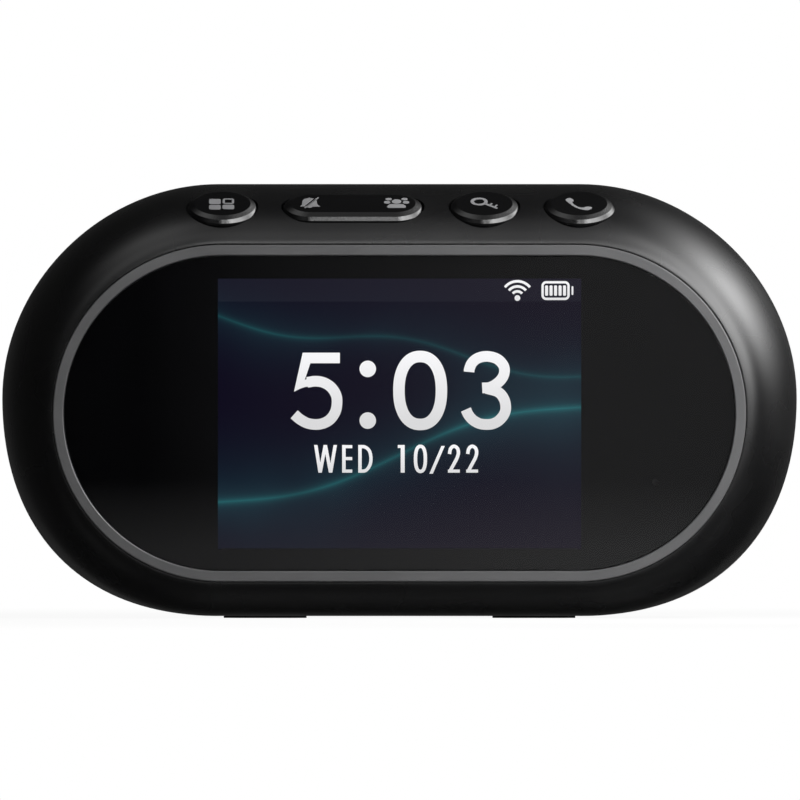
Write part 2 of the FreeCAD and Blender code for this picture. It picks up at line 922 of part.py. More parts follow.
def radio_module():
    """The radio's metal can on its small carrier."""
    return joined([on_board(*radio_carrier), on_board(*radio_can)])


def lead_socket(x, rise_z, width):
    return on_board(x, rise_z, width, lead_socket_height, lead_socket_depth)


def board_sockets():
    """Sockets for the battery, loudspeaker, microphone, charging board and key board."""
    return apart(
        [
            lead_socket(battery_socket_x, battery_socket_rise, lead_socket_width),
            lead_socket(speaker_socket_x, speaker_socket_rise, lead_socket_width),
            lead_socket(mic_socket_x, -mic_drop, lead_socket_width),
            lead_socket(usb_lead_x, usb_socket_rise, lead_socket_width + lead_thickness),
            on_board(key_socket_x, key_socket_rise, key_socket_width, key_socket_height, key_socket_depth),
        ]
    )


def board_screws():
    """Screws through the board's slots and the bracket into the posts of the front housing."""
    length = board_back_y - display_back_y + board_screw_grip
    return apart([small_screw(x, z, board_back_y, length) for x, z in board_screw_places()])


# Keys


def key_stem(u, low):
    """The square stem under a key that presses its switch."""
    half = key_stem_side / 2
    return box(u - half, u + half, -half, half, low, -key_crown / 2)


def round_key(x):
    """A round key cap: bevelled top, hollow skirt, two retaining lugs, guide rib and centre stem."""
    low = -deck_depth - key_lug_clearance - key_lug_thickness
    hollow = key_radius / math.sqrt(2) - key_skirt_wall / 2
    cap = turned(
        [
            (0, 0),
            (key_radius - key_bevel_width, 0),
            (key_radius, -key_bevel_drop),
            (key_radius, low),
            (0, low),
        ]
    )
    cap = cap.cut(box(-hollow, hollow, -hollow, hollow, low, -key_crown))
    stem = key_stem(0, -key_stem_drop)
    lugs = [
        box(
            sign * (key_radius - key_skirt_wall),
            sign * (key_radius + key_gap + key_lug_reach),
            -key_lug_width / 2,
            key_lug_width / 2,
            low,
            low + key_lug_thickness,
        )
        for sign in (-1, 1)
    ]
    half = key_rib_width / 2
    rib_root = key_radius - key_skirt_wall
    rib = box(-half, half, rib_root, key_radius + key_rib_proud, low, -deck_depth + key_rib_rise)
    return on_deck(joined([cap, stem, rib] + lugs), x)


def rocker_key():
    """The long key: one bevelled cap with a foot under each symbol, rocking on a cross pin between them."""
    top_length = rocker_length - 2 * key_bevel_width
    top_width = rocker_width - 2 * key_bevel_width
    upper = stadium_wire(top_length, top_width, Placement())
    lower = stadium_wire(rocker_length, rocker_width, Placement(Vector(0, 0, -key_bevel_drop), Rotation()))
    bevel = lofted([lower, upper])
    skirt = deck_pill(rocker_length, rocker_width, -rocker_skirt_drop, -key_bevel_drop)
    tall = rocker_width / 2 - key_skirt_wall
    wide = (rocker_length - rocker_width) / 2 + tall / math.sqrt(2)
    hollow = box(-wide, wide, -tall, tall, -rocker_skirt_drop, -key_crown)
    cap = joined([bevel, skirt]).cut(hollow)
    foot_low = -key_stem_drop + rocker_foot_clearance
    feet = [key_stem(sign * rocker_foot_x, foot_low) for sign in (-1, 1)]
    half = rocker_hub_half
    hub_low = -rocker_pin_drop - rocker_hub_side / 2
    hub = box(-rocker_hub_side / 2, rocker_hub_side / 2, -half, half, hub_low, -key_crown / 2)
    bore = cross_rod(rocker_pin_radius + rocker_pin_running, rocker_width, 0)
    return on_deck(joined([cap, hub] + feet).cut(bore), rocker_x)


def rocker_pin():
    return on_deck(cross_rod(rocker_pin_radius, rocker_pin_half, 0), rocker_x)


# Tact switches


def switch_plunger(x):
    """The square plunger that a key presses."""
    half = plunger_side / 2
    return on_deck(box(-half, half, -half, half, switch_top_w - plunger_depth, -key_stem_drop), x)


def tact_switch(x):
    """A square switch with a well for its plunger and four legs."""
    half = switch_side / 2
    body = box(-half, half, -half, half, key_board_top_w, switch_top_w)
    body = body.makeChamfer(switch_corner, edges_along(body, Vector(0, 0, 1)))
    well = plunger_side / 2 + plunger_running
    floor = switch_top_w - plunger_depth - key_travel - plunger_running
    legs = []
    for sign in (-1, 1):
        for v in (-half / 2, half / 2):
            v0, v1 = v - switch_leg_width / 2, v + switch_leg_width / 2
            top = key_board_top_w + switch_leg_thickness
            legs.append(box(sign * half / 2, sign * (half + switch_leg_reach), v0, v1, key_board_top_w, top))
    return on_deck(joined([body] + legs).cut(box(-well, well, -well, well, floor, switch_top_w)), x)


def switch_places():
    return list(key_x.values()) + [rocker_x - rocker_foot_x, rocker_x + rocker_foot_x]


def tact_switches():
    return apart([tact_switch(x) for x in switch_places()])


def key_board():
    """The switch board, parallel to the deck."""
    half = key_board_half
    plate = box(-half, half, -key_board_front, key_board_back, key_board_low_w, key_board_top_w)
    return on_deck(plate)


def key_flex():
    """The ribbon from under the key board down to its socket on the main board."""
    place = deck_placement(key_socket_x)
    top = place.multVec(Vector(0, 0, key_board_low_w))
    away = place.Rotation.multVec(Vector(0, 0, -1))
    end_y = board_back_y + key_socket_depth + flex_thickness / 2
    points = [
        top,
        top + away * key_flex_drop,
        Vector(key_socket_x, end_y, ring_z + board_height / 2),
        Vector(key_socket_x, end_y, ring_z + key_socket_rise - key_socket_height / 2),
    ]
    return ribbon(points, flex_thickness, flex_bend, Vector(2 * key_flex_half, 0, 0))


# Rear cover


def corner_ribs(x, z, width, height):
    """Four L-shaped ribs on the cover round a block of the given size."""
    y0 = cover_face_y - rib_height
    root_y = cover_face_y + cover_wall / 2
    ribs = []
    for sx in (-1, 1):
        for sz in (-1, 1):
            edge_x = x + sx * (width / 2 + rib_gap)
            edge_z = z + sz * (height / 2 + rib_gap)
            far_x, far_z = edge_x + sx * rib_width, edge_z + sz * rib_width
            ribs.append(box(edge_x, far_x, y0, root_y, edge_z - sz * rib_length, far_z))
            ribs.append(box(edge_x - sx * rib_length, far_x, y0, root_y, edge_z, far_z))
    return ribs


def usb_guides():
    """Slotted guides on the cover, into which the charging board slides."""
    guides = []
    y0 = usb_board_y - usb_guide_lip
    height = usb_board_height + 2 * usb_guide_play
    for sign in (-1, 1):
        inner = sign * (usb_board_width / 2 - usb_guide_bite)
        outer = inner + sign * usb_guide_width
        z0, z1 = usb_z - height / 2, usb_z + height / 2
        guide = box(inner, outer, y0, cover_face_y + cover_wall / 2, z0, z1)
        slot_y = usb_board_y - usb_guide_play
        slot_end = usb_board_y + usb_board_thickness + usb_guide_play
        edge = sign * (usb_board_width / 2 + usb_guide_play)
        guides.append(guide.cut(box(0, edge, slot_y, slot_end, z0, z1)))
    return guides


def grille_cuts():
    """Upright slots in front of the loudspeaker, shorter towards the sides."""
    cuts = []
    for n in range(grille_slots):
        steps = n - (grille_slots - 1) / 2
        height = grille_height - 2 * grille_shortening * abs(steps)
        cuts.append(
            block(speaker_x + steps * grille_pitch, mid_z, grille_slot, height, cover_face_y - 1, back_y + 1)
        )
    return cuts


def rear_cover():
    """The back shell: rounded edge, tongue, loudspeaker grille, charging cut-out and screw wells."""
    root_y = cover_face_y + cover_wall / 2
    side = cover_boss_side
    blocks = [block(x, z, side, side, parting_y, root_y) for x, z in cover_screw_places()]
    blocks += corner_ribs(battery_x, mid_z, battery_length, battery_height)
    blocks += corner_ribs(speaker_x, mid_z, speaker_width, speaker_height)
    shell = joined([cover_form(), cover_tongue()]).cut(cover_cavity().cut(blocks + usb_guides()))
    shell = joined([shell] + catch_blocks(0.0))
    cuts = grille_cuts()
    seat_y = back_y - cover_sink_depth
    for x, z in cover_screw_places():
        cuts.append(rod_y(cover_sink_radius, x, z, seat_y, back_y + 1))
        cuts.append(rod_y(cover_screw_radius + screw_hole_play, x, z, parting_y - 1, seat_y))
    gap = 2 * usb_cutout_gap
    cuts.append(stadium_y(usb_width + gap, usb_height + gap, 0, usb_z, cover_face_y - 1, back_y + 1))
    return shell.cut(cuts)


def cover_screws():
    return apart([cover_screw(x, z) for x, z in cover_screw_places()])


# Loudspeaker


def speaker_block(inset, start, end, end_inset=None):
    """A block round the loudspeaker's axis from one distance behind its face to another.

    Its outline is drawn in by an inset, and by the end inset where its sides slope."""
    far = inset if end_inset is None else end_inset
    half, tall = speaker_width / 2, speaker_height / 2
    wedge = Part.makeWedge(
        inset - half, start, inset - tall, far - tall, far - half,
        half - inset, end, tall - inset, tall - far, half - far,
    )
    turned_round = wedge.mirror(Vector(0, 0, 0), Vector(0, 1, 0))
    return turned_round.translated(Vector(speaker_x, speaker_face_y, mid_z))


def speaker_gasket():
    """The foam frame between the loudspeaker and the cover."""
    frame = speaker_block(0.0, -speaker_gasket_thickness, 0.0)
    return frame.cut(speaker_block(speaker_flange_band, -speaker_gasket_thickness, 0.0))


def speaker_frame():
    """The loudspeaker's open frame: flange, tapered walls and a back plate with a hole for the coil."""
    band = speaker_flange_band
    flange = speaker_block(0.0, 0.0, speaker_flange_thickness)
    deep = speaker_basket_depth
    narrow = band + speaker_basket_taper
    shelf = speaker_shelf_depth
    collar = speaker_block(band - speaker_sheet, 0.0, shelf + speaker_sheet)
    walls = speaker_block(band - speaker_sheet, shelf + speaker_sheet, deep, narrow - speaker_sheet)
    pocket = speaker_block(band, 0.0, shelf)
    inside = speaker_block(band + speaker_shelf_width, shelf, deep - speaker_sheet, narrow)
    coil = 2 * speaker_cap_half
    hole = block(speaker_x, mid_z, coil, coil, speaker_face_y - deep, speaker_face_y)
    return joined([flange, collar, walls]).cut([pocket, inside, hole])


def speaker_magnet():
    """The magnet behind the frame."""
    y1 = speaker_face_y - speaker_basket_depth
    y0 = y1 - speaker_magnet_depth
    return block(speaker_x, mid_z, speaker_magnet_width, speaker_magnet_height, y0, y1)


def speaker_cone():
    """The diaphragm: a flat rim, sloping sides and a coil former that reaches the magnet."""
    rim = speaker_flange_band + speaker_cone_gap
    fold = rim + speaker_roll
    flat = speaker_width / 2 - speaker_cap_half + speaker_cone_gap
    sheet = speaker_sheet
    top = speaker_shelf_depth - speaker_sheet
    deep = top + speaker_cone_depth
    outer = speaker_block(fold, top, deep + sheet, flat - sheet)
    inner = speaker_block(fold + sheet, top, deep, flat)
    edge = speaker_block(rim, top, top + sheet)
    coil = 2 * (speaker_cap_half - speaker_cone_gap)
    magnet_y = speaker_face_y - speaker_basket_depth
    former = block(speaker_x, mid_z, coil, coil, magnet_y, speaker_face_y - deep)
    return joined([edge, outer, former]).cut(inner)


# Microphone


def mic_boot():
    """The rubber boot that seals the microphone to its sound hole."""
    floor_y = cavity_y + mic_boot_floor
    body = block(mic_x, mic_z, mic_boot_side, mic_boot_side, cavity_y, cavity_y + mic_boot_length)
    pocket = block(mic_x, mic_z, mic_board_side, mic_board_side, floor_y, cavity_y + mic_boot_length)
    channel = block(mic_x, mic_z, mic_channel_side, mic_channel_side, cavity_y, floor_y)
    return body.cut([pocket, channel])


def microphone():
    """The microphone's little board and can, in the pocket of the boot."""
    y0 = cavity_y + mic_boot_floor
    y1 = y0 + mic_board_thickness
    plate = block(mic_x, mic_z, mic_board_side, mic_board_side, y0, y1)
    can = block(mic_x, mic_z, mic_can_width, mic_can_height, y1, y1 + mic_can_thickness)
    return joined([plate, can])


# Battery


def battery_pack():
    """A pouch cell with rounded long edges and its protection board's cap at one end."""
    y1 = cover_face_y - battery_tape
    y0 = y1 - battery_thickness
    x0 = battery_x - battery_length / 2
    x1 = battery_x + battery_length / 2
    cell = box(x0, x1 - battery_cap_length, y0, y1, mid_z - battery_height / 2, mid_z + battery_height / 2)
    cell = cell.makeFillet(battery_edge, edges_along(cell, Vector(1, 0, 0)))
    tall = battery_height / 2 - battery_cap_inset
    cap = box(x1 - battery_cap_length, x1, y0 + battery_cap_inset, y1, mid_z - tall, mid_z + tall)
    return joined([cell, cap])


def battery_adhesive():
    """The double-sided tape under the battery."""
    width = battery_length - 2 * battery_tape_inset
    height = battery_height - 2 * battery_tape_inset
    return block(battery_x, mid_z, width, height, cover_face_y - battery_tape, cover_face_y)


# Charging socket


def usb_socket():
    """The reversible socket's metal shell, closed at its foot."""
    y0 = usb_board_y + usb_board_thickness
    y1 = back_y - usb_recess
    shell = stadium_y(usb_width, usb_height, 0, usb_z, y0, y1)
    hollow_width = usb_width - 2 * usb_shell_wall
    hollow_height = usb_height - 2 * usb_shell_wall
    return shell.cut(stadium_y(hollow_width, hollow_height, 0, usb_z, y0 + usb_floor, y1 + 1))


def usb_tongue():
    """The contact tongue inside the socket."""
    y0 = usb_board_y + usb_board_thickness + usb_floor
    return block(0, usb_z, usb_tongue_width, usb_tongue_height, y0, y0 + usb_tongue_length)


def usb_board():
    """The small charging board, with its lead's header on the front."""
    back = usb_board_y + usb_board_thickness
    plate = block(0, usb_z, usb_board_width, usb_board_height, usb_board_y, back)
    width = lead_socket_width + lead_thickness
    header = block(
        usb_lead_x, usb_z, width, lead_socket_height, usb_board_y - lead_socket_depth / 2, usb_board_y
    )
    return joined([plate, header])


# Leads


def usb_lead():
    """The flat lead from the charging board to the main board."""
    start_y = usb_board_y - lead_socket_depth / 2
    end_y = board_back_y + lead_socket_depth
    end_z = ring_z + usb_socket_rise
    points = [
        Vector(usb_lead_x, start_y, usb_z),
        Vector(usb_lead_x, between(start_y, end_y, usb_lead_straight), usb_z),
        Vector(usb_lead_x, between(start_y, end_y, 1 - usb_lead_straight), end_z),
        Vector(usb_lead_x, end_y, end_z),
    ]
    return ribbon(points, lead_thickness, lead_bend, Vector(usb_lead_width, 0, 0))


def twin_lead(start_x, start_y, end_x, z):
    """A lead that leaves a side to the right, turns to the display and plugs in from the right."""
    turn_x = max(start_x, end_x) + lead_swing
    points = [
        Vector(start_x, start_y, z),
        Vector(turn_x, start_y, z),
        Vector(turn_x, lead_plug_y, z),
        Vector(end_x, lead_plug_y, z),
    ]
    return ribbon(points, lead_thickness, lead_bend, Vector(0, 0, lead_width))


def battery_lead():
    start_x = battery_x + battery_length / 2
    start_y = cover_face_y - battery_tape - (battery_thickness - battery_cap_inset) / 2
    end_x = battery_socket_x + lead_socket_width / 2
    return twin_lead(start_x, start_y, end_x, ring_z + battery_socket_rise)


def speaker_lead():
    start_x = speaker_x + speaker_magnet_width / 2
    start_y = speaker_face_y - speaker_basket_depth - speaker_magnet_depth / 2
    end_x = speaker_socket_x + lead_socket_width / 2
    return twin_lead(start_x, start_y, end_x, ring_z + speaker_socket_rise)


def mic_lead():
    """The lead from the microphone's board round the edge of the main board to its socket."""
    start_y = cavity_y + mic_boot_floor + mic_board_thickness
    x = mic_x - mic_can_width / 2 - mic_lead_thickness / 2
    points = [
        Vector(x, start_y, mic_z),
        Vector(x, lead_plug_y, mic_z),
        Vector(mic_socket_x + lead_socket_width / 2, lead_plug_y, mic_z),
    ]
    return ribbon(points, mic_lead_thickness, mic_lead_thickness, Vector(0, 0, mic_lead_width))


def antenna_strip():
    return block(
        antenna_x, antenna_z, antenna_length, antenna_height, cover_face_y - antenna_thickness, cover_face_y
    )


def antenna_lead():
    """The thin lead from the antenna down to the radio module."""
    start_y = cover_face_y - antenna_thickness
    end_y = board_back_y + radio_can[-1] + antenna_lead_side / 2
    points = [
        Vector(antenna_lead_x, start_y, antenna_z),
        Vector(antenna_lead_x, end_y, antenna_z),
        Vector(antenna_lead_x, end_y, ring_z + radio_can[1]),
    ]
    return ribbon(points, antenna_lead_side, lead_bend, Vector(antenna_lead_side, 0, 0))


def nodes():
    """Every sub-part by the name of its node."""
    made = {
        "front_housing": front_housing(),
        "rear_cover": rear_cover(),
        "cover_screws": cover_screws(),
        "foot_pads": foot_pads(),
        "trim_ring": trim_ring(),
        "front_lens": front_lens(),
        "lens_tape": lens_tape(),
        "display_gasket": display_gasket(),
        "display_glass": display_glass(),
        "light_guide": light_guide(),
        "display_tray": display_tray(),
        "display_bracket": display_bracket(),
        "display_flex": display_flex(),
        "main_board": main_board(),
        "board_chips": board_chips(),
        "radio_module": radio_module(),
        "board_sockets": board_sockets(),
        "board_screws": board_screws(),
        "rocker_key": rocker_key(),
        "rocker_pin": rocker_pin(),
        "mute_plunger": switch_plunger(rocker_x - rocker_foot_x),
        "group_plunger": switch_plunger(rocker_x + rocker_foot_x),
        "tact_switches": tact_switches(),
        "key_board": key_board(),
        "key_flex": key_flex(),
        "speaker_gasket": speaker_gasket(),
        "speaker_frame": speaker_frame(),
        "speaker_cone": speaker_cone(),
        "speaker_magnet": speaker_magnet(),
        "speaker_lead": speaker_lead(),
        "mic_boot": mic_boot(),
        "microphone": microphone(),
        "mic_lead": mic_lead(),
        "battery_pack": battery_pack(),
        "battery_adhesive": battery_adhesive(),
        "battery_lead": battery_lead(),
        "usb_socket": usb_socket(),
        "usb_tongue": usb_tongue(),
        "usb_board": usb_board(),
        "usb_lead": usb_lead(),
        "antenna_strip": antenna_strip(),
        "antenna_lead": antenna_lead(),
    }
    for name, x in key_x.items():
        made[name] = round_key(x)
        made[name.replace("key", "plunger")] = switch_plunger(x)
    return made


def main():
    os.makedirs("parts", exist_ok=True)
    for name, shape in nodes().items():
        shape.exportStep(f"parts/{name}.step")
        solids = shape.Solids
        valid = all(solid.isValid() for solid in solids)
        volume = sum(solid.Volume for solid in solids)
        print(f"{name}: {len(solids)} solid(s), {volume:.1f} mm3, valid {valid}")


main()
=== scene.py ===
import json
import math

import bmesh
import bpy
from mathutils import Matrix, Vector


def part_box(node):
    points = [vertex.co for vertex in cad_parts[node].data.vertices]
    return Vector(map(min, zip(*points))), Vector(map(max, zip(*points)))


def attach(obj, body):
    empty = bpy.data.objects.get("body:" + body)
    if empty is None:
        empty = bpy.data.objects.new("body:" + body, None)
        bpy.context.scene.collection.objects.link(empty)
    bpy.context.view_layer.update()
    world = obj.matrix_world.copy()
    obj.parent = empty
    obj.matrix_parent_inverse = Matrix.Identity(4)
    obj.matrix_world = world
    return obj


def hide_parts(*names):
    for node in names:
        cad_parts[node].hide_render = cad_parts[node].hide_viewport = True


# Intercom indoor station: looks built round the fixed frame. Metres, +Y runs from the display to
# the back and +Z is up. Sizes named in millimetres are turned into metres by MM.

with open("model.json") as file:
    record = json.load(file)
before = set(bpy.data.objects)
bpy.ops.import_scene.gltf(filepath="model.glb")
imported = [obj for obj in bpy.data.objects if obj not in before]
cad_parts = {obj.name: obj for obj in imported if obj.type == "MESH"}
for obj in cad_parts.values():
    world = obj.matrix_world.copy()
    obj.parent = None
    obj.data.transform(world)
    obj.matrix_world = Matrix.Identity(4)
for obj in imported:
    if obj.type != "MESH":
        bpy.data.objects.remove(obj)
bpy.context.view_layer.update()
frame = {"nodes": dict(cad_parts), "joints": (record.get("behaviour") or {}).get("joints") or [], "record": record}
nodes = frame["nodes"]
MM = 0.001

# Photograph's frame
image_side = 800
photo_span = 798.2
photo_centre_x = 399.5
photo_low_edge = 616.4
camera_distance = 7.0
sensor_width = 36.0

# Housing form, the same as the solids'
lip_width = 0.12 * MM
ring_gap = 0.15 * MM
lip_start_deg = 4.0
top_bulge_run = 31.0 * MM
side_bulge_run = 33.0 * MM
bottom_bulge_run = 12.0 * MM
upper_end_reach = 42.0 * MM
lower_end_reach = 41.0 * MM
upper_end_fullness = 0.539
lower_end_fullness = 0.618
widest_rise = 2.9 * MM
back_round_depth = 6.5 * MM
back_round_inset = 7.0 * MM
wall = 2.0 * MM
front_wall_depth = 4.0 * MM
ring_depth = 2.0 * MM
tongue_wall = 1.0 * MM
tongue_gap = 0.1 * MM
seam_softening = 0.25 * MM
cover_reveal = 0.3 * MM
front_cavity_inset = 1.2 * wall
shell_sharp_deg = 35
front_rows = 44
back_rows = 20
cavity_rows = 12
coarse_outline = (24, 12)

# Back
grille_slots = 7
grille_pitch = 2.8 * MM
grille_slot = 1.3 * MM
grille_height = 30.0 * MM
grille_shortening = 1.5 * MM
screw_head_radius = 2.3 * MM
screw_head_height = 1.7 * MM
screw_well_radius = 2.8 * MM
screw_boss_side = 6.8 * MM
port_gap = 0.35 * MM

# Keys
key_tilt = math.radians(25.0)
pin_drop = 4.7 * MM
key_hole_gap = 0.2 * MM
rocker_hole_gap = 0.25 * MM
rocker_length = 27.2 * MM
rocker_width = 11.0 * MM
key_radius = 6.75 * MM
round_keys = {"menu_key": "menu_button", "unlock_key": "unlock_button", "call_key": "call_button"}

# Key rims: a sloped shoulder, then a steeper edge. Drops run down from the top, a shoulder and an
# edge run in from the key's side, and a flare runs out from it.
key_crown = 1.4 * MM
key_shoulder_drop = 0.5 * MM
key_edge_drop = 1.18 * MM
round_shoulder = 1.33 * MM
round_edge = 0.38 * MM
round_flare = 0.11 * MM
rocker_shoulder = 1.5 * MM
rocker_edge = 0.44 * MM
rocker_flare = 0.05 * MM
cap_overlap = 0.2 * MM
key_softening = 0.07 * MM
key_sharp_deg = 20
icon_lift = 0.02 * MM
icon_thickness = 0.02 * MM
hole_depth = 9.0 * MM
weld_reach = 0.001 * MM
quarter_turn = Matrix.Rotation(math.radians(90), 4, "X")

# Window and picture
view_width = 70.1 * MM
view_height = 52.5 * MM
view_top_trim = 0.28 * MM
window_shelf_margin = 1.4 * MM
ring_band = 2.05 * MM
ring_edge = 0.2 * MM
lens_edge = 0.12 * MM
plate_sharp_deg = 12
plate_steps = 96
coated_facing = 0.9
mic_hole_radius = 0.7 * MM
mic_x = 49.4 * MM
mic_z = 26.2 * MM
print_margin = 0.1 * MM
print_thickness = 0.03 * MM
picture_margin = 0.6 * MM
picture_lift = 0.02 * MM
text_lift = 0.05 * MM
text_thickness = 0.01 * MM
text_drop = 0.13 * MM
digit_stroke = 2.05 * MM
letter_stroke = 0.66 * MM

# Tones
housing_tone = (0.005, 0.005, 0.0053)
housing_roughness = 0.27
ring_tone = (0.078, 0.078, 0.08)
key_tone = (0.004, 0.004, 0.0043)
mark_tone = (0.25, 0.25, 0.258)
text_low = (0.72, 0.72, 0.73)
text_high = (0.98, 0.98, 1.0)
screen_dark = (0.003, 0.0008, 0.0092)
strip_tone = (0.006, 0.0065, 0.008)
teal_soft = (0.012, 0.062, 0.077)
teal_bright = (0.04, 0.5, 0.5)
strip_low = 21.5 * MM
strip_edge = 0.1 * MM

# Waves on the screen: height of the line in millimetres, its slope, sway, wave length, start in
# radians, width of its glow and brightness
wave_shapes = [
    (-8.0, 0.28, 2.2, 64.0, 0.0, 5.4, 0.75),
    (13.0, -0.16, 1.6, 47.0, 1.4, 4.4, 0.35),
]
wave_core_share = 0.09
wave_core_level = 0.35

# Finish
acrylic_ior = 1.49
smudge_low = 0.002
smudge_high = 0.02
smudge_scale = 45.0
slow_scale = 60.0
cloud_scale = 28.0
cloud_low = 0.35
noise_low = 0.3
noise_high = 0.7

# Stage
floor_half = 4.0
floor_thickness = 0.01
floor_tone = 0.8
floor_white_near = 0.93
shadow_near = 0.09
shadow_far = 0.4
world_level = 0.3
room_radius = 6.0
room_tone = 0.016
card_side = 0.5
card_distance = 0.8

# The card's light grows from nothing at its dark places to these levels at its light ones
card_dark_x = -0.055
card_light_x = 0.035
card_across = 0.3
card_dark_z = 0.025
card_light_z = 0.01
card_down = 0.27

# Lamp
near_light_place = (0.16, -0.14, 0.15)
near_light_side = 0.06
near_light_power = 0.575

# Soft boxes that show in the gloss: degrees off the line to the camera, degrees round it from
# the right-hand side upwards, brightness and sharpness of edge
soft_boxes = [
    (22, 87, 7.5, 300),
    (33, 46, 11.0, 60),
    (38, 28, 3.5, 40),
    (57, 19, 2.4, 40),
    (53, 35, 6.2, 26),
    (64, 44, 4.4, 26),
    (70, 20, 1.6, 45),
    (72, 60, 1.8, 40),
    (79, 38, 3.4, 26),
    (95, 40, 4.8, 26),
    (110, 36, 6.2, 26),
    (126, 36, 2.0, 26),
    (56, 64, 1.1, 26),
    (60, 80, 0.2, 26),
    (88, 72, 0.45, 30),
    (50, 116, 0.9, 26),
    (66, 112, 0.5, 26),
    (88, 112, 1.0, 26),
    (66, 285, 0.12, 26),
    (84, 275, 0.09, 26),
    (104, 285, 0.1, 26),
    (75, 320, 0.1, 26),
    (68, 225, 0.08, 26),
    (172, 270, 0.05, 20),
]

# Places read from the frame
front_low, front_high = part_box("front_housing")
cover_low, cover_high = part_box("rear_cover")
ring_low, ring_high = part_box("trim_ring")
lens_low, lens_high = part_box("front_lens")
glass_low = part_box("display_glass")[0]
ring_width = ring_high.x - ring_low.x
ring_height = ring_high.z - ring_low.z
ring_z = (ring_low.z + ring_high.z) / 2
face_y = ring_low.y
parting_y = front_high.y
back_y = cover_high.y
body_width = front_high.x - front_low.x
body_depth = back_y - face_y
base_z = front_low.z
top_z = front_high.z
mid_z = (base_z + top_z) / 2


# Meshes


def new_object(name, data):
    made = bpy.data.objects.new(name, data)
    bpy.context.scene.collection.objects.link(made)
    return made


def smooth(made, degrees):
    """Smooth shading, with edges kept sharp past an angle."""
    mesh = made.data
    mesh.shade_smooth()
    mesh.set_sharp_from_angle(angle=math.radians(degrees))


def solid_from(name, points, faces):
    """A closed mesh whose faces all look outwards."""
    mesh = bpy.data.meshes.new(name)
    mesh.from_pydata([tuple(point) for point in points], [], faces)
    mesh.validate()
    work = bmesh.new()
    work.from_mesh(mesh)
    bmesh.ops.recalc_face_normals(work, faces=work.faces)
    work.to_mesh(mesh)
    work.free()
    return new_object(name, mesh)


def ring_faces(rings, closed):
    """Points and faces of a wall through rings. A closed one joins the last ring to the first."""
    count = len(rings[0])
    points = [point for ring in rings for point in ring]
    faces = []
    for level in range(len(rings) if closed else len(rings) - 1):
        near, far = level * count, (level + 1) % len(rings) * count
        for n in range(count):
            m = (n + 1) % count
            faces.append((near + n, near + m, far + m, far + n))
    return points, faces


def tube_of(name, rings):
    """A closed solid through rings of points, with a flat cap at each end."""
    points, faces = ring_faces(rings, False)
    count = len(rings[0])
    last = (len(rings) - 1) * count
    faces.append(tuple(range(count))[::-1])
    faces.append(tuple(last + n for n in range(count)))
    return solid_from(name, points, faces)


def combined(target, tools, operation):
    """A solid with others added or taken away. The others are used up."""
    for tool in tools:
        step = target.modifiers.new("step", "BOOLEAN")
        step.operation = operation
        step.solver = "EXACT"
        step.object = tool
    bpy.context.view_layer.update()
    depsgraph = bpy.context.evaluated_depsgraph_get()
    mesh = bpy.data.meshes.new_from_object(target.evaluated_get(depsgraph))
    target.modifiers.clear()
    target.data = mesh
    for tool in tools:
        bpy.data.objects.remove(tool)
    return target


def ring_points(width, height, x, z, y, steps=48):
    """A stadium outline round the Y axis."""
    radius = min(width, height) / 2
    reach = (width - height) / 2
    points = []
    for side, start in ((1, 90), (-1, 270)):
        for n in range(steps + 1):
            angle = math.radians(start - 180 * n / steps)
            across = x + side * max(reach, 0) + radius * math.cos(angle)
            points.append(Vector((across, y, z + radius * math.sin(angle))))
    return points


def stadium(name, width, height, x, z, y0, y1, steps=48):
    return tube_of(name, [ring_points(width, height, x, z, y, steps) for y in (y0, y1)])


def cuboid(name, low, high):
    across, along, up = zip(low, high)
    corners = [Vector((x, y, z)) for x in across for y in along for z in up]
    faces = [(0, 1, 3, 2), (4, 6, 7, 5), (0, 4, 5, 1), (2, 3, 7, 6), (0, 2, 6, 4), (1, 5, 7, 3)]
    return solid_from(name, corners, faces)


# Housing form


def rise(depth, run):
    if depth >= run:
        return 1.0
    first = math.radians(lip_start_deg)
    angle = math.acos(math.cos(first) * (1 - depth / run))
    return (math.sin(angle) - math.sin(first)) / (1 - math.sin(first))


def back_inset(depth):
    into = (depth - body_depth + back_round_depth) / back_round_depth
    if into <= 0:
        return 0.0
    return back_round_inset * (1 - math.sqrt(max(0.0, 1 - into**2)))


def mix(low, high, share):
    return low + (high - low) * share


def bezier_points(a, b, c, d, steps):
    points = []
    for n in range(steps):
        t = n / steps
        s = 1 - t
        points.append(a * s**3 + b * 3 * s * s * t + c * 3 * s * t * t + d * t**3)
    return points


